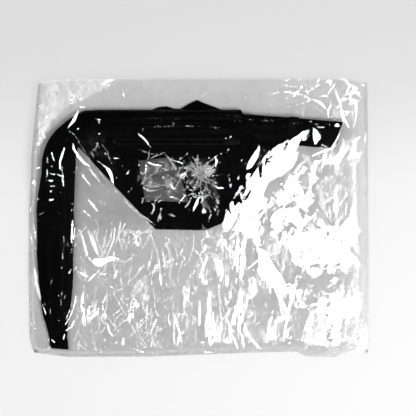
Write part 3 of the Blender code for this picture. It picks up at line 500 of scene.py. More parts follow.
# clear film: two sheets welded along the sides and foot, open at the mouth
film = {
    "halfWidth": 215.0, "halfLength": 175.0, "across": 350, "along": 282, "flat": (0.436, 0.356),
    "rim": 1.45, "low": 12.3, "full": 23.6, "lowFrom": -11.0, "fullFrom": 82.0, "roof": 26.5,
    "climb": (16.0, 26.0, 24.0),  # run of the rise from the left, the right and the foot
    # how far the edges stand in, along each edge from 0 to 1
    "leftInset": ((0, 9), (0.02, 5), (0.06, 2.5), (0.3, 1), (0.5, 1.5), (0.75, 5), (0.9, 9.5), (1, 13)),
    "rightInset": ((0, 1.5), (0.25, 0.5), (0.5, 1), (0.75, 1.5), (1, 2.5)),
    "footRise": ((0, 6), (0.1, 0.5), (0.35, 1), (0.5, 3.5), (0.65, 6), (0.78, 7), (0.82, 1), (0.9, 0.5),
                 (0.93, 6), (1, 6)),
    "mouthDip": ((0, 6), (0.08, 2), (0.45, 0.5), (0.75, 0.5), (0.92, 1.5), (1, 5)),
    # the slanting fold on the right: its line, its crest's height along it, and how it falls away
    "ridge": ((140.5, 115.5), (109, 100), (90.5, 88.5), (73, 71), (59, 52), (46.5, 33), (34.5, 17),
              (26.5, -5)),
    "ridgeFall": 0.055, "ridgeBack": 5.0,
    "ridgeCrest": ((-30, 23.5), (0, 24.4), (50, 24.2), (100, 21.6), (145, 16.8), (170, 14.2), (200, 12.5)),
    # the photo's pixel that lies over the middle of the film, and a pixel's size
    "photoMiddle": (198.5, 218.4), "pixel": 1.26,
    # kinds of painted highlight, where the normal leans towards the lamp, and how far an outline of each
    # fades, in millimetres a pixel
    "kinds": {"shineSlant": 2.0, "shineUp": 2.0, "shineNet": 2.0, "stroke": 1.26, "soft": 1.26},
    # areas of such painted highlights, drawn in the photo's pixels: kind, weight, soft edge, outline
    "shine": (
        ("shineSlant", 0.98, 2.4, (311, 128), (306, 130), (300, 131), (292, 135), (285, 140), (278, 145),
         (270, 151), (264, 156), (259, 162), (254, 168), (248, 175), (243, 182), (238, 189), (232, 198),
         (226, 206), (222, 215), (220, 224), (222, 230), (227, 235), (232, 231), (238, 232), (244, 236),
         (251, 242), (258, 247), (262, 249), (261, 240), (260, 231), (262, 219), (265, 210), (268, 205),
         (265, 197), (265, 190), (270, 183), (276, 179), (284, 176), (290, 172), (294, 165), (297, 158),
         (298, 149), (300, 141), (304, 138), (307, 134)),
        ("shineNet", 0.86, 4, (276, 186), (284, 180), (292, 175), (300, 168), (308, 161), (318, 156),
         (327, 151), (333, 147), (328, 157), (322, 165), (318, 174), (320, 183), (316, 192), (314, 200),
         (311, 209), (310, 222), (300, 232), (286, 236), (274, 236), (270, 228), (270, 219), (273, 211),
         (276, 203), (274, 196)),
        ("shineNet", 1.02, 2.5, (271, 230), (280, 232), (292, 230), (302, 232), (312, 228), (318, 231),
         (325, 226), (331, 224), (338, 228), (345, 221), (353, 223), (359, 231), (357, 241), (352, 250),
         (355, 258), (352, 267), (346, 275), (339, 270), (331, 274), (323, 273), (316, 277), (306, 273),
         (297, 267), (290, 262), (287, 255), (290, 250), (284, 247), (278, 248), (274, 240)),
        ("stroke", 1.05, 1.4, (258, 247), (263, 249), (269, 256), (272, 263), (277, 270), (283, 277),
         (285, 285), (282, 291), (282, 298), (286, 306), (290, 316), (290, 322), (285, 313), (279, 302),
         (274, 290), (268, 281), (262, 280), (259, 275), (258, 268)),
        ("shineNet", 0.78, 3, (289, 292), (295, 296), (301, 293), (305, 301), (314, 300), (322, 296),
         (329, 292), (331, 280), (336, 276), (342, 280), (343, 300), (342, 318), (342, 332), (344, 344),
         (336, 346), (328, 336), (323, 322), (322, 311), (312, 311), (302, 309), (297, 311), (292, 304)),
        ("shineNet", 0.86, 3, (284, 283), (297, 282), (301, 288), (299, 292), (291, 291), (287, 296),
         (283, 292)),
        ("shineNet", 0.7, 4, (344, 306), (352, 303), (357, 308), (361, 296), (363, 318), (366, 347),
         (352, 348), (347, 340), (350, 326), (344, 318)),
        ("shineUp", 0.76, 2.4, (204, 280), (210, 277), (213, 292), (214, 310), (217, 325), (218, 338),
         (214, 347), (208, 346), (205, 336), (204, 318), (206, 300)),
        ("shineUp", 0.82, 2.5, (213, 258), (219, 256), (225, 265), (230, 278), (235, 296), (230, 290),
         (225, 284), (220, 283), (214, 272)),
        ("shineUp", 0.84, 2, (234, 231), (238, 240), (239, 262), (242, 285), (241, 299), (237, 298),
         (234, 280), (231, 262), (232, 246)),
        ("shineUp", 0.8, 2, (241, 236), (247, 240), (248, 252), (246, 263), (243, 276), (240, 290),
         (239, 276), (240, 254)),
        ("shineUp", 0.84, 2, (237, 298), (243, 300), (245, 310), (246, 325), (249, 333), (246, 341),
         (245, 348), (240, 347), (238, 336), (235, 328), (237, 316)),
        ("stroke", 1, 0.8, (259, 145), (260, 150), (257, 158), (252, 168), (245, 171), (248, 163),
         (253, 154)),
        ("stroke", 1, 0.8, (311, 129), (316, 131), (319, 139), (316, 144), (313, 146), (311, 138)),
        ("stroke", 1, 0.8, (331, 127), (336, 124), (340, 128), (336, 129)),
        ("shineUp", 0.86, 2.5, (334, 179), (338, 188), (338, 212), (334, 220), (331, 208), (332, 192)),
        ("stroke", 0.95, 1, (341, 160), (351, 156), (362, 151), (358, 159)),
        ("stroke", 1, 1, (325, 81), (331, 82), (329, 90)),
        ("stroke", 1, 1, (94, 258), (104, 258), (112, 256), (119, 258), (108, 262), (102, 266), (97, 264)),
        ("stroke", 0.95, 0.8, (105, 165), (111, 169), (114, 175), (115, 188), (111, 178), (108, 171)),
        ("shineUp", 0.8, 2.5, (81, 288), (86, 290), (88, 300), (92, 312), (90, 330), (86, 338), (84, 320),
         (80, 300)),
        ("soft", 0.7, 3, (330, 108), (340, 110), (340, 120), (328, 119)),
        ("soft", 0.8, 7, (36, 76), (120, 76), (112, 91), (90, 103), (73, 110), (58, 124), (46, 150),
         (36, 150)),
        ("soft", 0.62, 3, (213, 190), (219, 196), (221, 214), (219, 222), (214, 206)),
        ("soft", 0.66, 2.4, (360.4, 78.7), (369.9, 78.7), (369.9, 350.1), (360.4, 350.1)),
        ("soft", 0.62, 2.4, (27.1, 77.1), (41.4, 77.1), (35.8, 154.9), (33.4, 345.4), (27.1, 345.4)),
    ),
    # gaps in the areas whose kind begins with shine, in pixels too
    "gaps": (
        ((258, 168), (261, 164), (261, 178), (259, 178)),
        ((232, 200), (239, 195), (241, 203), (238, 201), (235, 206)), ((225, 206), (228, 205), (232, 216)),
        ((294, 136), (300, 131), (300, 133), (296, 137)), ((282, 151), (286, 144), (288, 143), (284, 152)),
        ((252, 166), (258, 157), (259, 161), (255, 167)), ((302, 178), (309, 176), (308, 186), (303, 188)),
        ((279, 220), (284, 219), (283, 226), (280, 226)), ((276, 234), (280, 232), (283, 238), (278, 243)),
        ((286, 222), (292, 224), (297, 229), (290, 227)),
        ((308, 268), (314, 264), (319, 263), (318, 255), (320, 258), (319, 266)),
        ((296, 168), (302, 163), (300, 170)),
    ),
    # single painted highlights along creases, by kind: weight, width and the points they run through, all in
    # pixels, and how many millimetres wide a pixel of width is drawn
    "strokeWide": 1.05,
    "strokes": {
        "stroke": (
            (1, 2.5, (200, 302), (199, 327)), (1, 3, (201, 270), (204, 284)),
            (1, 3, (231, 333), (235, 341), (238, 349)), (1, 2.4, (247, 333), (255, 342), (262, 350)),
            (0.9, 1.6, (250, 338), (258, 349)), (0.95, 1.6, (258, 260), (247, 269)),
            (0.85, 1.5, (246, 282), (253, 277), (257, 284)), (1, 1.9, (314, 128), (323, 129)),
            (0.9, 1.7, (319, 145), (327, 148)),
            (0.9, 2.2, (339, 133), (334, 142), (330, 149), (322, 152), (310, 157)),
            (0.9, 2, (345, 200), (344, 216)), (0.9, 1.7, (320, 206), (331, 197)),
            (0.9, 3, (332, 79), (343, 81), (348, 88), (343, 98)), (0.9, 2.2, (334, 84), (326, 95)),
            (0.9, 3, (333, 90), (338, 104), (341, 118), (348, 130)),
            (0.9, 3, (348, 86), (354, 90), (352, 93), (344, 97)), (0.9, 3, (351, 91), (360, 99)),
            (0.9, 3.5, (345, 97), (354, 105), (354, 120)), (0.9, 4, (358, 86), (364, 87)),
            (0.9, 2.5, (356, 91), (359, 98)), (0.85, 2, (340, 100), (350, 101), (360, 103)),
            (0.9, 4, (310, 100), (318, 104), (326, 112)), (0.8, 3, (316, 98), (328, 98)),
            (0.9, 3.5, (303, 97), (309, 101), (305, 105)),
            (0.75, 2, (270, 84), (290, 88), (303, 90), (315, 91)),
            (0.8, 2.4, (290, 94), (300, 97), (308, 99)),
            (0.7, 1.7, (282, 109), (290, 107), (300, 105), (306, 103)),
            (0.9, 3, (330, 105), (326, 112), (327, 120)), (0.85, 2.5, (338, 104), (336, 110), (331, 106)),
            (0.85, 2, (340, 112), (350, 114), (352, 122)), (0.9, 4, (339, 105), (341, 125)),
            (0.85, 3.5, (360, 136), (352, 144), (348, 140)), (0.85, 2, (364, 130), (364, 145)),
            (0.85, 1.3, (121, 195), (130, 204), (140, 213), (150, 221), (155, 225)),
            (1, 3.2, (75, 144), (76, 151), (80, 157), (86, 164), (92, 168)),
            (0.8, 1.8, (97, 160), (104, 165), (110, 170)), (0.95, 1.6, (115, 159), (122, 160)),
            (0.9, 1.8, (113, 143), (116, 144)), (0.8, 3, (105, 153), (110, 156)),
            (0.95, 2.2, (112, 164), (115, 165)), (0.9, 1.6, (115, 173), (120, 173)),
            (0.95, 2, (116, 178), (121, 178)), (0.7, 1.2, (120, 140), (124, 143)),
            (0.7, 1.3, (131, 142), (136, 147)), (1, 2.4, (138, 134), (144, 138), (148, 143), (151, 148)),
            (1, 2.4, (99, 137), (102, 134)), (1, 2.5, (67, 148), (64, 155), (62, 163), (62, 170)),
            (1, 3.4, (60, 175), (64, 177)), (0.95, 1.8, (64, 178), (65, 186)),
            (0.8, 1.7, (67, 137), (69, 143)), (1, 3.4, (80, 108), (88, 110)),
            (1, 4.2, (80, 112), (76, 121), (71, 128)), (0.8, 2.6, (70, 132), (78, 137)),
            (0.9, 2.4, (72, 203), (75, 205)), (0.8, 2, (73, 208), (73, 213)),
            (0.95, 2.6, (74, 219), (73, 232), (72, 243)), (0.8, 1.4, (76, 225), (72, 253)),
            (0.9, 1.5, (76, 294), (76, 302), (73, 311), (69, 319), (65, 326)),
            (0.85, 1.4, (74, 300), (70, 312), (66, 320)), (0.95, 1.7, (76, 318), (72, 326), (65, 331)),
            (1, 3, (66, 333), (64, 339)), (0.75, 1.5, (65, 234), (64, 250), (63, 268), (61, 276)),
            (1, 2.2, (52, 174), (57, 175)), (1, 4, (51, 181), (55, 181)), (1, 3.4, (51, 192), (55, 191)),
            (1, 3, (51, 200), (56, 199)), (0.9, 1.8, (52, 168), (56, 167)),
            (0.9, 1.8, (53, 150), (55, 158), (57, 163)), (0.85, 2, (146, 162), (155, 165), (165, 167)),
            (0.8, 2, (170, 160), (180, 163), (186, 166)), (0.85, 2.4, (163, 174), (164, 180)),
            (0.95, 2.2, (171, 183), (173, 188), (175, 191)), (0.75, 2, (155, 188), (158, 186)),
            (0.8, 3, (170, 197), (175, 198)), (0.7, 2.2, (155, 198), (157, 198)),
            (0.7, 1.7, (185, 188), (190, 187)), (1, 3.2, (199, 197), (196, 205), (193, 211)),
            (0.85, 1.5, (209, 207), (211, 214), (208, 222)), (0.8, 1.4, (213, 206), (217, 214), (218, 220)),
            (1, 2.2, (214, 156), (217, 162), (215, 168)), (0.9, 2, (219, 154), (223, 155)),
            (0.85, 1.7, (226, 153), (229, 154)), (0.85, 2.5, (207, 158), (211, 160)),
            (0.95, 2.2, (213, 186), (218, 188), (224, 188)), (0.7, 2, (106, 196), (110, 189)),
            (0.75, 2, (82, 220), (88, 228)), (0.95, 2.8, (82, 232), (86, 246), (89, 258)),
            (0.95, 3.4, (90, 258), (97, 264), (102, 265), (108, 260), (114, 257), (120, 259)),
            (0.8, 3, (78, 270), (84, 274), (90, 276)), (0.85, 2.4, (88, 282), (95, 274), (99, 271)),
            (0.8, 2.2, (99, 272), (105, 274), (110, 273)), (0.95, 2.4, (118, 269), (116, 275), (114, 280)),
            (0.95, 3, (110, 285), (115, 288)), (0.8, 2.8, (108, 294), (104, 302), (103, 312)),
            (0.85, 3.4, (101, 306), (98, 313), (93, 318)), (0.95, 2.2, (108, 322), (110, 330), (114, 336)),
            (0.8, 2, (129, 315), (131, 319)), (0.8, 2, (157, 318), (152, 330), (150, 337)),
            (0.85, 3, (184, 255), (185, 260)), (0.75, 2.4, (186, 262), (184, 267)),
            (0.85, 3, (160, 272), (163, 288)), (0.75, 2.2, (195, 267), (194, 274)),
            (0.85, 3, (174, 313), (177, 324), (180, 333), (177, 345)),
            (0.95, 3.2, (104, 87), (110, 83), (117, 81)), (0.9, 2, (113, 86), (108, 88)),
            (0.95, 2.4, (111, 94), (116, 99)), (0.95, 2.2, (124, 91), (125, 97), (127, 101)),
            (0.95, 2.6, (144, 86), (147, 85)), (0.7, 2.4, (182, 86), (185, 86)),
            (0.7, 1.6, (72, 84), (79, 84)), (0.8, 2, (70, 94), (76, 98), (74, 104)),
            (0.8, 1.8, (78, 103), (71, 106)), (0.7, 1.8, (82, 98), (80, 102)),
            (0.7, 1.8, (60, 98), (64, 97)), (0.95, 2.8, (41, 107), (43, 107)),
            (0.95, 2.6, (61, 107), (63, 108)), (0.9, 1.5, (95, 119), (99, 121), (105, 121)),
            (0.9, 1.6, (101, 121), (101, 126)), (0.7, 1.8, (203, 88), (208, 87)),
            (0.85, 2, (201, 98), (204, 97)), (0.85, 2, (232, 99), (235, 97)),
            (0.95, 2.4, (253, 114), (256, 116)), (0.7, 2, (265, 96), (269, 97)),
            (0.9, 2.6, (272, 95), (279, 94)), (0.9, 2.4, (281, 94), (288, 94), (294, 97)),
            (0.95, 2.6, (283, 83), (289, 82)), (0.85, 2, (292, 79), (295, 83)),
            (0.7, 1.7, (274, 104), (281, 106)), (0.7, 1.8, (266, 102), (270, 105)),
            (0.7, 2, (43, 120), (45, 116)), (0.9, 2, (37, 171), (41, 168), (43, 170)),
            (0.95, 3, (33, 185), (36, 181), (37, 187)), (0.9, 2.4, (31, 189), (36, 190)),
            (0.8, 1.5, (39, 197), (42, 200)), (0.8, 1.5, (38, 222), (40, 218)),
            (0.8, 2.6, (34, 215), (36, 230), (37, 244)), (0.9, 1.7, (43, 303), (46, 310), (47, 316)),
            (1, 3, (52, 338), (57, 342)),
        ),
        "soft": (
            (0.8, 1.2, (76, 135), (80, 142), (90, 158), (100, 171), (110, 184), (121, 195)),
            (0.8, 1.2, (124, 200), (136, 211), (146, 220)), (0.8, 1.4, (104, 146), (108, 152), (112, 163)),
            (0.9, 1.4, (150, 160), (163, 154), (166, 153)), (0.8, 1.4, (139, 150), (150, 154), (163, 156)),
            (0.9, 1.8, (166, 155), (172, 163), (178, 173)), (0.9, 1.4, (147, 163), (158, 168), (170, 171)),
            (0.8, 1.4, (141, 172), (144, 175), (148, 171)), (0.8, 1.4, (150, 176), (158, 173), (160, 168)),
            (0.8, 1.4, (168, 175), (176, 182)), (0.9, 1.8, (175, 178), (176, 183)),
            (0.7, 1.4, (178, 173), (184, 180), (188, 190)), (0.7, 1.6, (187, 192), (189, 199)),
            (0.9, 1.5, (152, 202), (155, 208), (152, 216)), (0.8, 1.4, (155, 203), (156, 212)),
            (0.8, 1.5, (162, 206), (161, 213), (158, 219)), (0.8, 1.6, (227, 176), (230, 184)),
            (0.8, 2.6, (82, 172), (92, 187)), (0.8, 3, (90, 168), (104, 186)),
            (0.8, 3.2, (88, 198), (100, 214)), (0.8, 3, (82, 208), (92, 218)),
            (0.7, 2.4, (100, 200), (108, 206)), (0.9, 2.6, (88, 228), (92, 240), (98, 254)),
            (0.9, 3, (92, 231), (96, 244), (100, 258)), (1, 5, (101, 246), (104, 254), (98, 261)),
            (0.9, 2.2, (116, 225), (114, 240), (110, 252), (106, 260)),
            (0.8, 1.8, (113, 220), (112, 235), (108, 248)), (0.9, 4, (97, 300), (95, 312), (90, 322)),
            (1, 4, (80, 340), (79, 348)), (1, 3, (84, 340), (88, 346)),
            (0.75, 1.8, (113, 290), (121, 304), (131, 322), (140, 340)), (0.8, 1.6, (154, 310), (150, 326)),
            (0.9, 1.8, (153, 336), (151, 348)), (0.8, 2, (140, 283), (143, 291)),
            (0.8, 2.2, (150, 230), (153, 240), (158, 255)), (0.8, 2.2, (140, 232), (142, 248)),
            (0.9, 2.4, (157, 248), (160, 264), (162, 285)), (1, 3, (163, 250), (165, 262), (166, 270)),
            (0.8, 1.7, (170, 238), (166, 248)), (0.9, 1.8, (164, 237), (170, 240)),
            (0.9, 2.4, (170, 248), (172, 262), (170, 275), (174, 286)), (0.9, 3, (175, 283), (176, 287)),
            (0.9, 2.2, (166, 282), (169, 288)), (0.9, 2.4, (183, 288), (187, 301)),
            (0.8, 1.8, (190, 285), (188, 300), (193, 304)), (1, 2.8, (174, 320), (175, 346)),
            (1, 2.6, (180, 330), (182, 343)), (1, 2.6, (187, 315), (186, 326)),
            (0.9, 2.6, (168, 317), (170, 325)), (0.8, 1.8, (196, 327), (195, 343)),
            (0.8, 1.6, (176, 240), (178, 268)), (0.7, 1.6, (133, 262), (128, 288)),
            (0.7, 1.6, (125, 300), (121, 270)), (0.52, 2.4, (231, 123), (250, 121), (270, 122), (282, 119)),
            (0.52, 2, (283, 126), (300, 124), (312, 122)), (0.55, 2, (112, 120), (150, 119), (190, 121)),
            (0.55, 2, (150, 128), (185, 127), (222, 129)), (0.48, 1.8, (205, 116), (228, 117), (246, 118)),
            (0.9, 2, (98, 88), (102, 87)), (1, 4, (36, 266), (38, 285), (42, 300)),
            (0.9, 1.7, (46, 318), (47, 326)), (0.9, 1.5, (51, 304), (52, 313)),
            (0.8, 1.4, (63, 290), (62, 306)),
        ),
    },
    # nets of flat facets: spacing, height and seed, and for strands also stretch and turn
    "facets": ((26.0, 1.3, 11), (11.0, 0.42, 12)), "ridgeFacets": (9.0, 1.6, 22),
    "strands": ((5.5, 0.24, 13, 7.0, 8.0), (4.0, 0.16, 14, 9.0, -14.0), (6.0, 0.26, 15, 6.0, -44.0)),
    # painted soft highlights along creases round one point: its place, how many, lengths, widths
    "star": (1.9, 54.0, 46, (9, 34), (0.8, 1.4)),
    # loose painted highlights along creases, drawn at random: how many, share of bright ones, area, main
    # direction and spread in degrees, lengths, widths
    "creases": (
        (62, 0.02, (-150, -165, 150, -12), 92, 30, (14, 50), (1.2, 2.0)),
        (46, 0.02, (-150, -150, -60, -10), 62, 60, (8, 36), (1.2, 2.2)),
        (26, 0.5, (-212, 142, 110, 172), 10, 45, (3, 10), (1.2, 2.0)),
        (34, 0.6, (118, 116, 208, 172), 60, 90, (5, 20), (1.3, 2.4)),
        (38, 0.15, (150, -50, 210, 96), 78, 34, (6, 26), (1.2, 2.2)),
        (30, 0.3, (170, -160, 210, -60), 85, 30, (5, 20), (1.2, 2.2)),
        (44, 0.7, (-213, -150, -203, 142), 85, 22, (3, 12), (1.3, 2.4)),
        (36, 0.1, (-70, 20, -12, 78), 50, 70, (6, 22), (0.9, 1.4)),
        (8, 0.3, (-120, 92, 60, 134), 120, 50, (3, 9), (1.0, 1.6)),
        (5, 0.4, (-190, -140, -164, 92), 84, 12, (5, 20), (1.0, 1.6)),
        (34, 0.5, (-210, -172, 208, -162), 5, 20, (4, 18), (1.2, 2.0)),
    ),
    "highlightSeed": 31,
    # hazy patches: middle, half width and half length, strength
    "haze": ((1.2, 57, 30, 28, 0.65), (-44, 50, 40, 36, 0.8), (-131, 92, 24, 26, 0.55), (15, 30, 15, 40, 0.8),
             (-112, 70, 20, 40, 0.3)),
    # the rows below hold soft edges in x and then in y, each from none to full
    # heights that the film keeps over the bar, the right sleeve and the outer slider
    "over": (
        (16.4, ((-176, -168), (96, 86)), ((62, 72),)),
        (14.6, ((48, 58), (190, 184)), ((80, 88),)),
        (22.2, ((-118, -110), (68, 60)), ((82, 88), (112, 105))),
    ),
    # how much more or less the film crumples
    "calm": (
        (-0.65, ((-170, -150), (70, 60)), ((60, 95), (150, 138))),
        (-0.5, ((-212, -204), (-152, -160)), ((112, 96),)),
        (0.5, ((110, 130),), ((115, 130),)),
    ),
    # no milky sheen over the left sleeve, the folded body and the right sleeve
    "sheer": (
        (((-210, -205), (-153, -158)), ((116, 108),)),
        (((-160, -152), (72, 60)), ((-16, -8), (140, 136))),
        (((60, 72), (182, 176)), ((86, 94), (138, 132))),
    ),
}


def facetField(x, y, spacing, height, seed, stretch=1.0, turn=0.0):
    # crumpled film is flat between its creases: a random net of triangles
    draw = np.random.default_rng(seed)
    c, s = math.cos(math.radians(turn)), math.sin(math.radians(turn))
    u, v = c * x + s * y, (c * y - s * x) / stretch
    spots = []
    for i in np.arange(u.min() - 2 * spacing, u.max() + 2 * spacing, spacing):
        for j in np.arange(v.min() - 2 * spacing, v.max() + 2 * spacing, spacing):
            spots.append((i + draw.uniform(-0.45, 0.45) * spacing, j + draw.uniform(-0.45, 0.45) * spacing))
    tall = draw.uniform(-height, height, len(spots))
    net = geometry.delaunay_2d_cdt([Vector(p) for p in spots], [], [], 0, 1e-6)[2]
    tree = BVHTree.FromPolygons([(*p, h) for p, h in zip(spots, tall)], net)
    down = Vector((0, 0, -1))
    return np.array([tree.ray_cast(Vector((a, b, 99)), down)[0].z for a, b in zip(u, v)])


def inset(rows, share):
    return np.interp(share, [r[0] for r in rows], [r[1] for r in rows])


def filmPlace(u, v):
    left, right = inset(film["leftInset"], v), inset(film["rightInset"], v)
    foot, mouth = inset(film["footRise"], u), inset(film["mouthDip"], u)
    x = -film["halfWidth"] + left + u * (2 * film["halfWidth"] - left - right)
    y = -film["halfLength"] + foot + v * (2 * film["halfLength"] - foot - mouth)
    return x, y


def within(x, y, edgesX, edgesY, share=1.0):
    # share inside soft edges, none outside
    for start, end in edgesX:
        share = share * soften(start, end, x)
    for start, end in edgesY:
        share = share * soften(start, end, y)
    return share


def edgeClimb(u, v):
    rise = 1.0
    wide, long = 2 * film["halfWidth"], 2 * film["halfLength"]
    for gap, run in zip((u * wide, (1 - u) * wide, v * long), film["climb"]):
        rise = rise * (1 - (1 - np.clip(gap / run, 0, 1)) ** 3)
    return rise


def lowestFilm(x, y, climb):
    # how high the film has to stay over the bag, its slider and the sleeves as they swing
    low = np.full_like(x, 3.0)
    # the left sleeve as it swings in, and the hanging panel with its slanting right side
    sweep = soften(-206, -202, x) * soften(0, -6, x + 112 + (y - 60) * 0.3) * soften(-172, -166, y)
    low = np.maximum(low, 9.6 * sweep)
    past = (x - 27.5) * 0.749 - (y + 2) * 0.662
    low = np.maximum(low, 5.4 * soften(-118, -112, x) * soften(9, 3, past) * soften(-19, -13, y))
    for height, edgesX, edgesY in film["over"]:
        low = np.maximum(low, within(x, y, edgesX, edgesY, height))
    return low * soften(0.3, 0.75, climb)


def alongLine(x, y, points):
    # nearest distance to a run of points, and the place on it
    best = np.full_like(x, 1e9)
    nearX, nearY = np.zeros_like(x), np.zeros_like(y)
    for (ax, ay), (bx, by) in zip(points, points[1:]):
        t = np.clip(((x - ax) * (bx - ax) + (y - ay) * (by - ay)) / ((bx - ax) ** 2 + (by - ay) ** 2), 0, 1)
        cx, cy = ax + t * (bx - ax), ay + t * (by - ay)
        far = np.hypot(x - cx, y - cy)
        closer = far < best
        best = np.where(closer, far, best)
        nearX, nearY = np.where(closer, cx, nearX), np.where(closer, cy, nearY)
    return best, nearX, nearY


def sideOf(x, y, points):
    # distance along a bent line and to its right-hand side
    along, side = np.zeros_like(x), np.zeros_like(x)
    run, least = 0.0, np.full_like(x, 1e9)
    for (ax, ay), (bx, by) in zip(points, points[1:]):
        long = math.hypot(bx - ax, by - ay)
        dx, dy = (bx - ax) / long, (by - ay) / long
        t = (x - ax) * dx + (y - ay) * dy
        near = np.clip(t, 0, long)
        far = np.hypot(x - ax - near * dx, y - ay - near * dy)
        closer = far < least
        least = np.where(closer, far, least)
        along = np.where(closer, run + near, along)
        turned = (y - ay) * dx - (x - ax) * dy
        side = np.where(closer, np.where(turned < 0, -far, far), side)
        run += long
    return along, side


def insideOf(x, y, points):
    inside = np.zeros(len(x), bool)
    for (ax, ay), (bx, by) in zip(points, points[1:] + points[:1]):
        crosses = (ay > y) != (by > y)
        if ay != by:
            inside ^= crosses & (x < (bx - ax) * (y - ay) / (by - ay) + ax)
    return inside


def closeTo(x, y, points, wide):
    box = np.array(points)
    low, high = box.min(axis=0) - wide, box.max(axis=0) + wide
    return np.flatnonzero((x > low[0]) & (x < high[0]) & (y > low[1]) & (y < high[1]))


def insideBy(x, y, outline):
    return alongLine(x, y, outline + outline[:1])[0] * np.where(insideOf(x, y, outline), 1, -1)


def onFilm(points):
    # pixels of the photo as whole millimetres on the film
    px, py = film["photoMiddle"]
    return [(round((x - px) * film["pixel"]), round((py - y) * film["pixel"])) for x, y in points]


# painted highlights: strokes listed in the photo's pixels
def drawnHighlights():
    return [(kind, much, round(wide * film["strokeWide"], 1), *onFilm(points))
            for kind, rows in film["strokes"].items() for much, wide, *points in rows]


# painted highlights: strokes and star rays laid at random
def looseHighlights():
    draw = np.random.default_rng(film["highlightSeed"])
    rows = []
    for count, bright, (x0, y0, x1, y1), main, spread, lengths, widths in film["creases"]:
        for i in range(count):
            cx, cy = draw.uniform(x0, x1), draw.uniform(y0, y1)
            turn = math.radians(main + draw.normal(0, 0.6) * spread)
            half, wide = draw.uniform(*lengths) / 2, draw.uniform(*widths)
            bend = draw.uniform(-0.3, 0.3) * half
            ex, ey = half * math.cos(turn), half * math.sin(turn)
            middle = (cx - bend * math.sin(turn), cy + bend * math.cos(turn))
            kind = "stroke" if draw.uniform(0, 1) < bright else "soft"
            rows.append((kind, draw.uniform(0.55, 1.0), wide, (cx - ex, cy - ey), middle, (cx + ex, cy + ey)))
    sx, sy, rays, reach, widths = film["star"]
    for i in range(rays):
        turn, bend = draw.uniform(0, math.tau), draw.uniform(-0.25, 0.25)
        ways = [(math.cos(turn + b), math.sin(turn + b)) for b in (0, bend, 2 * bend)]
        far = draw.uniform(*reach)
        points = [(sx + f * far * dx, sy + f * far * dy) for f, (dx, dy) in zip((0.08, 0.5, 1.0), ways)]
        rows.append(("soft", draw.uniform(0.7, 1.0), draw.uniform(*widths), *points))
    return rows


def shineAt(x, y):
    # weight of each kind of painted highlight, soft at the edges and thin at the ends
    kept = {kind: np.zeros_like(x) for kind in film["kinds"]}
    for kind, much, edge, *outline in film["shine"]:
        edge = round(edge * film["kinds"][kind], 1)
        outline = onFilm(outline)
        near = closeTo(x, y, outline, edge)
        share = much * soften(-edge, edge, insideBy(x[near], y[near], outline))
        kept[kind][near] = np.maximum(kept[kind][near], share)
    for outline in film["gaps"]:
        outline = onFilm(outline)
        near = closeTo(x, y, outline, 2)
        share = soften(-1, 1, insideBy(x[near], y[near], outline))
        for kind in film["kinds"]:
            if kind.startswith("shine"):
                kept[kind][near] *= 1 - share
    for kind, much, wide, *points in drawnHighlights() + looseHighlights():
        near = closeTo(x, y, points, wide + 2)
        far, nearX, nearY = alongLine(x[near], y[near], points)
        ends = np.minimum(*(np.hypot(nearX - px, nearY - py) for px, py in (points[0], points[-1])))
        half = wide / 2 * np.minimum(1, 0.3 + 0.7 * ends / (2.5 * wide))
        kept[kind][near] = np.maximum(kept[kind][near], much * soften(half + 0.7, half - 0.6, far))
    return kept


def hazeAt(x, y):
    haze = np.zeros_like(x)
    for cx, cy, wide, long, much in film["haze"]:
        haze = np.maximum(haze, much * soften(1.0, 0.35, np.hypot((x - cx) / wide, (y - cy) / long)))
    return haze


def filmHeights(u, v, x, y):
    climb = edgeClimb(u, v)
    base = film["low"] + (film["full"] - film["low"]) * soften(film["lowFrom"], film["fullFrom"], y)
    q, d = sideOf(x, y, film["ridge"])
    d = d + facetField(x, y, *film["ridgeFacets"])
    fall = inset(film["ridgeCrest"], q) - film["ridgeFall"] * np.maximum(d, 0)
    share = soften(205, 150, q) * soften(-95, -45, y) * soften(-film["ridgeBack"], 1, d)
    share *= 1 - soften(120, 150, x) * soften(70, 98, y)
    tall = base + (fall - base) * share
    slope = share * soften(-4, 6, d)
    calm = np.ones_like(x)
    for much, edgesX, edgesY in film["calm"]:
        calm *= 1 + within(x, y, edgesX, edgesY, much)
    calm *= 1 - 0.4 * slope
    slack = np.clip(soften(30, -30, y) + soften(60, 110, x) * 0.6 + soften(-205, -212, x), 0, 1)
    haze = hazeAt(x, y)
    return tall, climb, calm + 0.9 * haze, slack, slope, haze


def smoothMax(a, b, wide):
    gap = (a - b) / wide
    return np.where(gap > 25, a, b + wide * np.log1p(np.exp(np.clip(gap, -25, 25))))


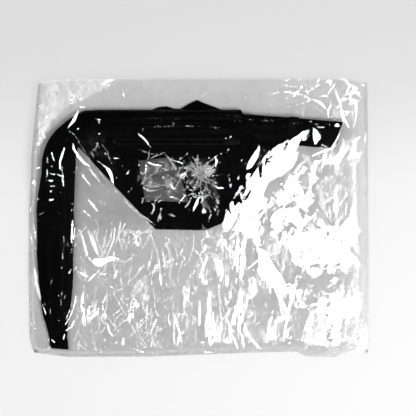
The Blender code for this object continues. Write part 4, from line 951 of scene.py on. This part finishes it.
def makeFilmFront():
    shape = clothGrid(film["across"], film["along"], film["flat"][0] / mm, film["flat"][1] / mm,
                      lambda u, v: (u / mm, v / mm, 0))
    piece = newPiece("filmFront", shape, looks["film"])
    flat = np.zeros(len(piece.data.vertices) * 3)
    piece.data.vertices.foreach_get("co", flat)
    u, v = flat[0::3].copy(), flat[1::3].copy()
    x, y = filmPlace(u, v)
    tall, climb, calm, slack, slope, haze = filmHeights(u, v, x, y)
    big, small = (facetField(x, y, *row) for row in film["facets"])
    upright, slanted, ridged = (facetField(x, y, *row) for row in film["strands"])
    tall = film["rim"] + (tall + calm * big - film["rim"]) * climb
    steep = 1 + 0.0026 * x
    tall = tall + calm * climb * (small + (upright + slanted) * slack * steep * 1.2) + slope * ridged * climb
    tall = smoothMax(tall, lowestFilm(x, y, climb), 0.5)
    tall = np.minimum(np.maximum(tall, film["rim"] * 0.9), film["roof"])
    flat[0::3], flat[1::3], flat[2::3] = x * mm, y * mm, tall * mm
    piece.data.vertices.foreach_set("co", flat)
    milk = np.clip(slack + 0.3 + 0.6 * soften(-40, -140, x) * soften(136, 150, y), 0, 1)
    for edgesX, edgesY in film["sheer"]:
        milk = milk * (1 - within(x, y, edgesX, edgesY))
    # film density for the alpha: more to the left and lower down, less at the top-left and right edges
    # (bare); the dark term is painted shade, the film made darker left of the hanging panel where the left
    # sleeve's shadow falls
    dark = soften(-50, -70, x) * soften(-30, 0, y) * soften(90, 60, y)
    thick = (0.6 + 0.25 * soften(20, -60, x)) * soften(140, 100, y) * soften(225, 150, x) + 0.35 * dark
    thick = np.clip(thick, 0, 1.2)
    bare = np.maximum(soften(190, 205, x), soften(-200, -208, x) * soften(120, 80, y))
    marks = {"haze": haze, "slack": slack, "thick": thick - 0.24 * bare, "milk": milk, **shineAt(x, y)}
    for name, values in marks.items():
        mark = piece.data.attributes.new(name, "FLOAT", "POINT")
        mark.data.foreach_set("value", values.astype(np.float32))
    piece.data.update()
    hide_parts("film_front")
    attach(piece, "clear_bag")
    piece.visible_diffuse = False
    return piece


def makeFilmBack():
    def place(u, v):
        x, y = filmPlace(u, v)
        lift = 0.25 + 0.15 * fold(x, y, 40, 60, 3) + 0.1 * fold(x, y, 9, 30, 4)
        return x, y, max(lift, 0.05)
    shape = clothGrid(110, 90, film["flat"][0] / mm, film["flat"][1] / mm, place)
    piece = newPiece("filmBack", shape, looks["back"], "clear_bag", ["film_back"])
    piece.visible_diffuse = False
    return piece


weld = {"wide": 4.0, "base": 0.55, "thick": 0.45, "knurl": 0.12}


def makeWeld(name, node, side):
    def place(u, v):
        if side == "foot":
            x, y = filmPlace(u, v * weld["wide"] / (2 * film["halfLength"]))
        elif side == "left":
            x, y = filmPlace(v * weld["wide"] / (2 * film["halfWidth"]), u)
        else:
            x, y = filmPlace(1 - v * weld["wide"] / (2 * film["halfWidth"]), u)
        return x, y, weld["base"] + weld["knurl"] * math.sin(u * 900) * math.sin(v * 9)
    shape = clothGrid(220, 6, 2 * film["halfLength"], weld["wide"], place)
    thicken(shape, weld["thick"])
    return newPiece(name, shape, looks["weld"], "clear_bag", [node])


filmFront = makeFilmFront()
filmBack = makeFilmBack()
makeWeld("weldLeft", "seal_left", "left")
makeWeld("weldRight", "seal_right", "right")
makeWeld("weldFoot", "seal_foot", "foot")
print("film ready:", len(filmFront.data.vertices), "points")


# black cloth bag: quilted bar with the zip along its front hem, hanging panel behind it
bar = {
    "left": -127.0, "right": 60.0, "middle": 119.0, "thick": 1.3, "lowest": 14.45, "highest": 15.9,
    "profile": ((-16.4, 6.7), (-17.1, 9.5), (-16.2, 12.6), (-12.6, 14.9), (-6, 15.35), (2, 15.1), (9, 15.2),
                (13.4, 14.4), (16.5, 11), (17.2, 7), (16.8, 3.9)),
    "slant": 0.4, "longFold": 0.75, "crossFold": 0.35,
}


def makeBar():
    def place(u, v):
        y, z = curveAt(bar["profile"], v)
        x = bar["left"] + u * (bar["right"] - bar["left"])
        crown = float(soften(11.0, 14.4, z))
        ripple = bar["longFold"] * fold(x, y, 55, 3.2, 1) + bar["crossFold"] * fold(x, y, 14, 11, 2)
        z = z + crown * ripple
        y = y + (1 - crown) * 0.7 * fold(x, z, 26, 9, 3) * float(soften(4, 8, z))
        if crown > 0.9:
            z = min(max(z, bar["lowest"]), bar["highest"])
        x -= max(y, 0) * bar["slant"] * float(soften(0.8, 1, u))
        return x, bar["middle"] + y, z
    shape = clothGrid(190, 60, bar["right"] - bar["left"], 60.0, place)
    thicken(shape, bar["thick"])
    return newPiece("barCloth", shape, looks["shell"], "changing_bag", ["front_panel"])


bib = {
    "outline": ((-157, 106), (-154, 93), (-122, 58), (-54, -14), (8.5, -15.2), (40, -2), (110, 82),
                (88, 106)),
    "low": (-158.0, -16.5), "high": (110.0, 106.0), "base": 1.1, "thick": 0.8, "fold": 0.75, "wrinkle": 0.3,
    "lowest": 0.85, "top": 2.35,
}


def clip(shape, outline):
    # keeps what lies inside a convex outline that runs anticlockwise
    for (ax, ay), (bx, by) in zip(outline, outline[1:] + outline[:1]):
        side = Vector((by - ay, ax - bx, 0))
        bmesh.ops.bisect_plane(shape, geom=shape.verts[:] + shape.edges[:] + shape.faces[:],
                               plane_co=Vector((ax * mm, ay * mm, 0)), plane_no=side, clear_outer=True)


def makeBib():
    (x0, y0), (x1, y1) = bib["low"], bib["high"]

    def place(u, v):
        x, y = x0 + u * (x1 - x0), y0 + v * (y1 - y0)
        lift = bib["fold"] * (0.5 + 0.5 * fold(x + y * 0.4, y - x * 0.3, 34, 17, 5))
        lift += bib["wrinkle"] * fold(x, y, 9, 13, 6)
        return x, y, min(max(bib["base"] + lift, bib["lowest"]), bib["top"])
    shape = clothGrid(150, 68, x1 - x0, y1 - y0, place)
    clip(shape, bib["outline"])
    thicken(shape, bib["thick"])
    return newPiece("bibPanel", shape, looks["shell"], "changing_bag", ["back_panel"])


strip = {"left": -139.5, "right": 45.0, "middle": 119.0, "half": 17.0, "base": 1.0, "thick": 1.4}


def makeStrip():
    def place(u, v):
        x = strip["left"] - strip["half"] + u * (strip["right"] - strip["left"] + 2 * strip["half"])
        past = max(strip["left"] - x, x - strip["right"], 0.0)
        half = math.sqrt(max(strip["half"] ** 2 - past ** 2, 0.04))
        y = strip["middle"] + (2 * v - 1) * half
        return x, y, strip["base"] + 0.4 * (0.5 + 0.5 * fold(x, y, 22, 8, 7))
    shape = clothGrid(120, 18, strip["right"] - strip["left"], 2 * strip["half"], place)
    thicken(shape, strip["thick"])
    return newPiece("backStrip", shape, looks["shell"], "changing_bag")


peak = {
    "outline": ((-64, 128), (36, 128), (33.5, 135), (14, 142.5), (-2, 148.8), (-13, 143.5), (-23, 137.6),
                (-31, 138), (-40, 141), (-50, 140), (-62, 135.5)),
    "base": 0.9, "thick": 2.1,
}
heel = {"outline": ((7, -2), (27.5, -2), (31, 14), (7, 14)), "base": 0.8, "thick": 1.9}
flapRound = 0.42  # share of the thickness that its edges are rounded by


def makeFlap(name, made):
    # a flat doubled edge of cloth, cut from one outline
    shape = bmesh.new()
    uv = shape.loops.layers.uv.new("clothUv")
    corners = [shape.verts.new((x * mm, y * mm, made["base"] * mm)) for x, y in made["outline"]]
    lower = shape.faces.new(corners)
    raised = bmesh.ops.extrude_face_region(shape, geom=[lower])["geom"]
    raised = [part for part in raised if isinstance(part, bmesh.types.BMVert)]
    bmesh.ops.translate(shape, vec=(0, 0, made["thick"] * mm), verts=raised)
    bmesh.ops.recalc_face_normals(shape, faces=shape.faces)
    edges = [edge for edge in shape.edges if abs(edge.verts[0].co.z - edge.verts[1].co.z) < 1e-6]
    bmesh.ops.bevel(shape, geom=edges, offset=made["thick"] * flapRound * mm, segments=3, affect="EDGES",
                    profile=0.5, material=-1)
    bmesh.ops.triangulate(shape, faces=[face for face in shape.faces if len(face.verts) > 4])
    for face in shape.faces:
        face.smooth = True
        for loop in face.loops:
            loop[uv].uv = (loop.vert.co.x, loop.vert.co.y)
    return newPiece(name, shape, looks["shell"], "changing_bag")


patch = {
    "corners": ((-75.5, 72.5), (-32.0, 77.0), (-11.5, 20.0), (-67.0, 23.0)), "base": 3.55, "thick": 0.45,
    "stitchIn": 0.035, "pitch": 3.0, "long": 2.2, "wide": 0.5, "high": 0.45, "sides": 12,
}


def onPatch(u, v):
    (ax, ay), (bx, by), (cx, cy), (dx, dy) = patch["corners"]
    x = (1 - v) * ((1 - u) * ax + u * bx) + v * ((1 - u) * dx + u * cx)
    y = (1 - v) * ((1 - u) * ay + u * by) + v * ((1 - u) * dy + u * cy)
    return x, y, patch["base"] + 0.3 * (0.5 + 0.5 * fold(x, y, 16, 12, 8)) + 0.12 * fold(x, y, 4, 6, 9)


def makePatch():
    shape = clothGrid(60, 60, 48.0, 55.0, onPatch)
    thicken(shape, patch["thick"])
    made = newPiece("labelPatch", shape, looks["label"], "changing_bag", ["label_patch"])
    shape = bmesh.new()
    a, b = patch["stitchIn"], 1 - patch["stitchIn"]
    steps = [i / patch["sides"] for i in range(patch["sides"] + 1)]
    for run in ([(a + (b - a) * t, a) for t in steps], [(b, a + (b - a) * t) for t in steps],
                [(b - (b - a) * t, b) for t in steps], [(a, b - (b - a) * t) for t in steps]):
        path = [(x, y, z + 0.1) for x, y, z in (onPatch(u, v) for u, v in run)]
        stitchRow(shape, path, patch["pitch"], patch["long"], patch["wide"], patch["high"])
    newPiece("patchStitching", shape, looks["thread"], "changing_bag")
    return made


seam = {
    "pitch": 3.2, "long": 2.3, "wide": 0.55, "high": 0.5,
    "rows": (
        ((51.5, 92, 3.2), (51.5, 36, 3.2)), ((58.5, 92, 3.2), (58.5, 44, 3.2)),
        ((-107, 78, 3.2), (-107, 46, 3.2), (-53, -6.5, 3.2), (6, -6.5, 3.2)),
        ((-107, 84.2, 6.05), (52, 84.2, 6.05)), ((-107, 88.6, 6.05), (52, 88.6, 6.05)),
    ),
}


def makeSeams():
    shape = bmesh.new()
    for path in seam["rows"]:
        stitchRow(shape, path, seam["pitch"], seam["long"], seam["wide"], seam["high"])
    newPiece("panelStitching", shape, looks["thread"], "changing_bag")


leftArm = {
    # middle line from the shoulder to the cuff: x, y, width, thickness, underside
    "path": ((-119, 119.4, 33.5, 11.7, 3.45), (-133, 118.2, 34, 11.5, 3.4), (-146, 114.5, 33.5, 11.0, 3.2),
             (-157, 107.5, 32.5, 10.4, 2.6), (-166.5, 97, 36, 9.4, 2.6), (-173, 81, 41, 8.4, 3.0),
             (-176.2, 57, 43, 7.4, 2.4), (-178.8, 20, 46, 7.7, 0.8), (-179.5, -20, 47, 7.6, 0.8),
             (-179.5, -70, 44, 7.2, 0.8), (-178.8, -110, 37, 6.3, 0.8), (-177.2, -135, 28, 5.2, 0.8),
             (-176, -149, 23.4, 4.3, 0.8)),
    "around": 72, "along": 190, "girth": 90.0, "length": 300.0,
}


def squared(value, power):
    # pushes a sine outwards, so that a round section turns flatter
    return math.copysign(abs(value) ** power, value)


def tubePoint(across, up, side, base, thick):
    # a flattened round section: side and up are the unit circle
    return squared(side, 0.85) * across / 2, base + thick * (0.5 + 0.5 * squared(up, 0.8))


def leftPlace(u, v):
    x, y, across, thick, base = curveAt(leftArm["path"], v)
    ahead, behind = curveAt(leftArm["path"], v + 0.004), curveAt(leftArm["path"], v - 0.004)
    run = Vector((ahead[0] - behind[0], ahead[1] - behind[1])).normalized()
    side, up = math.cos(u * math.tau), math.sin(u * math.tau)
    out, z = tubePoint(across, up, side, base, thick)
    px, py = x - run.y * out, y + run.x * out
    upper = max(up, 0.0)
    gather = math.exp(-((py - 43) / 13) ** 2) + math.exp(-((py + 150) / 20) ** 2)
    z += upper * (0.55 * fold(px, py, 5.5, 60, 11) + 0.35 * fold(px, py, 14, 22, 12))
    z += upper * gather * 0.75 * math.sin(out * 1.35 + 0.6 * fold(px, py, 10, 10, 13))
    bend = float(soften(-125, -140, px) * soften(60, 85, py))
    z += upper * bend * 0.7 * fold(px + py, px - py, 5, 30, 14)
    edge = abs(side) ** 3 * (1.2 * fold(py, side * 5, 24, 3, 15) + 0.5 * fold(py, side * 5, 6, 3, 16))
    return px - run.y * edge * side, py + run.x * edge * side, max(z, 0.72)


def makeLeftArm():
    shape = clothGrid(leftArm["around"], leftArm["along"], leftArm["girth"], leftArm["length"], leftPlace)
    closeTube(shape)
    piece = newPiece("leftArm", shape, looks["shell"])
    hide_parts("left_sleeve")
    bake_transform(piece)
    return piece


rightArm = {
    "pivot": (72.5, 119.0), "turn": -7.5, "half": 16.9, "around": 64, "along": 220, "girth": 72.0,
    "length": 300.0, "slantFrom": 30.0, "slant": 0.11, "sag": 5.2,
    # from the shoulder out to the fold, back, and out again to the cuff: place along x, height, thickness
    "path": ((-16.5, 9.2, 11.6), (-4, 9.2, 11.2), (8, 9.9, 8.6), (17, 10.7, 5.0), (26, 11.3, 3.1),
             (45, 11.2, 2.8), (65, 11.1, 2.9), (84, 11.1, 2.8), (98, 11.0, 2.7), (105.2, 10.4, 2.5),
             (107.4, 8.8, 2.4), (105.2, 7.2, 2.4), (98, 6.6, 2.5), (75, 6.5, 2.6), (50, 6.5, 2.6),
             (30, 6.5, 2.5), (23, 6.1, 2.4), (20.6, 4.3, 2.3), (23, 2.6, 2.3), (30, 2.2, 2.5),
             (50, 2.15, 2.6), (70, 2.15, 2.6), (89.7, 2.2, 2.7)),
}


def rightWorld(x, y, z):
    lean = float(soften(rightArm["slantFrom"], 100, x)) * rightArm["slant"]
    x = x * (1 - lean * (0.5 - y / (2 * rightArm["half"])))
    upper = 0.5 + y / (2 * rightArm["half"])
    y += rightArm["sag"] * (x / 108 - 1.2) * (upper + (1 - upper) * float(soften(-16, 4, x)))
    c, s = math.cos(math.radians(rightArm["turn"])), math.sin(math.radians(rightArm["turn"]))
    return rightArm["pivot"][0] + c * x - s * y, rightArm["pivot"][1] + s * x + c * y, z


def rightPlace(u, v):
    x, z, thick = curveAt(rightArm["path"], v)
    ahead, behind = curveAt(rightArm["path"], v + 0.003), curveAt(rightArm["path"], v - 0.003)
    run = Vector((ahead[0] - behind[0], ahead[1] - behind[1])).normalized()
    side, up = math.cos(u * math.tau), math.sin(u * math.tau)
    flat, lift = squared(side, 0.8), squared(up, 0.8)
    y = flat * rightArm["half"] * (1 + 0.03 * fold(v * 300, side * 4, 25, 3, 17))
    out = lift * thick / 2 * (1 + 0.22 * fold(v * 300, y, 30, 5, 18))
    return rightWorld(x - run.y * out, y, max(z + run.x * out, 0.75))


def makeRightArm():
    shape = clothGrid(rightArm["around"], rightArm["along"], rightArm["girth"], rightArm["length"],
                      rightPlace)
    closeTube(shape)
    piece = newPiece("rightArm", shape, looks["shell"])
    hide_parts("right_sleeve")
    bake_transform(piece)
    return piece


bands = {
    "leftBand": {"across": 42.4, "thick": 8.6, "base": 0.75, "length": 11.4, "ribs": 3, "depth": 0.22},
    "leftCuff": {"across": 22.0, "thick": 4.0, "base": 0.75, "length": 15.0, "ribs": 2, "depth": 0.20},
    "rightBand": {"across": 36.4, "thick": 4.6, "base": 8.9, "length": 11.4, "ribs": 3, "depth": 0.18},
    "rightCuff": {"across": 24.0, "thick": 3.9, "base": 0.8, "length": 14.6, "ribs": 2, "depth": 0.18},
}


def gatherTube(name, body, node, look, toWorld):
    # a short gathered tube along y, ribbed on its outside
    made = bands[name]

    def place(u, v):
        side, up = math.cos(u * math.tau), math.sin(u * math.tau)
        out, z = tubePoint(made["across"], up, side, made["base"], made["thick"])
        rib = made["depth"] * math.sin(v * made["ribs"] * math.tau)
        rib += made["depth"] * 0.8 * math.sin(u * 58 + 2 * fold(out, v * 9, 5, 3, 19))
        ends = float(soften(0, 0.08, v) * soften(1, 0.92, v))
        y = (v - 0.5) * made["length"]
        return toWorld(out * (1 + 0.02 * rib), y, max(z + rib * ends * abs(up), 0.72))
    shape = clothGrid(96, 40, 2 * made["across"], made["length"], place)
    closeTube(shape)
    return newPiece(name, shape, look, body, [node])


barCloth = makeBar()
bibPanel = makeBib()
backStrip = makeStrip()
peakFold = makeFlap("peakFold", peak)
heelFold = makeFlap("heelFold", heel)
labelPatch = makePatch()
makeSeams()
leftCloth = makeLeftArm()
rightCloth = makeRightArm()
leftBand = gatherTube("leftBand", "left_sleeve", "left_upper_elastic", looks["elastic"],
                      lambda x, y, z: (x - 177.6, y + 43.0, z))
leftCuff = gatherTube("leftCuff", "left_sleeve", "left_cuff", looks["shell"],
                      lambda x, y, z: (x - 175 - 0.08 * y, y - 156.6 - 0.09 * x, z))
rightBand = gatherTube("rightBand", "right_sleeve", "right_upper_elastic", looks["elastic"],
                       lambda x, y, z: rightWorld(46 + y, x, z))
rightCuff = gatherTube("rightCuff", "right_sleeve", "right_cuff", looks["shell"],
                       lambda x, y, z: rightWorld(97.4 + y, x, z))

nodeLooks = {"lining": "lining", "tape": "tape", "facing": "plainShell", "teeth": "teeth", "stop": "metal",
             "slider": "metal", "pull": "metal", "elastic": "tape"}
for name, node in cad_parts.items():
    for word, look in nodeLooks.items():
        if word in name:
            node.data.materials.clear()
            node.data.materials.append(looks[look])
print("bag ready")
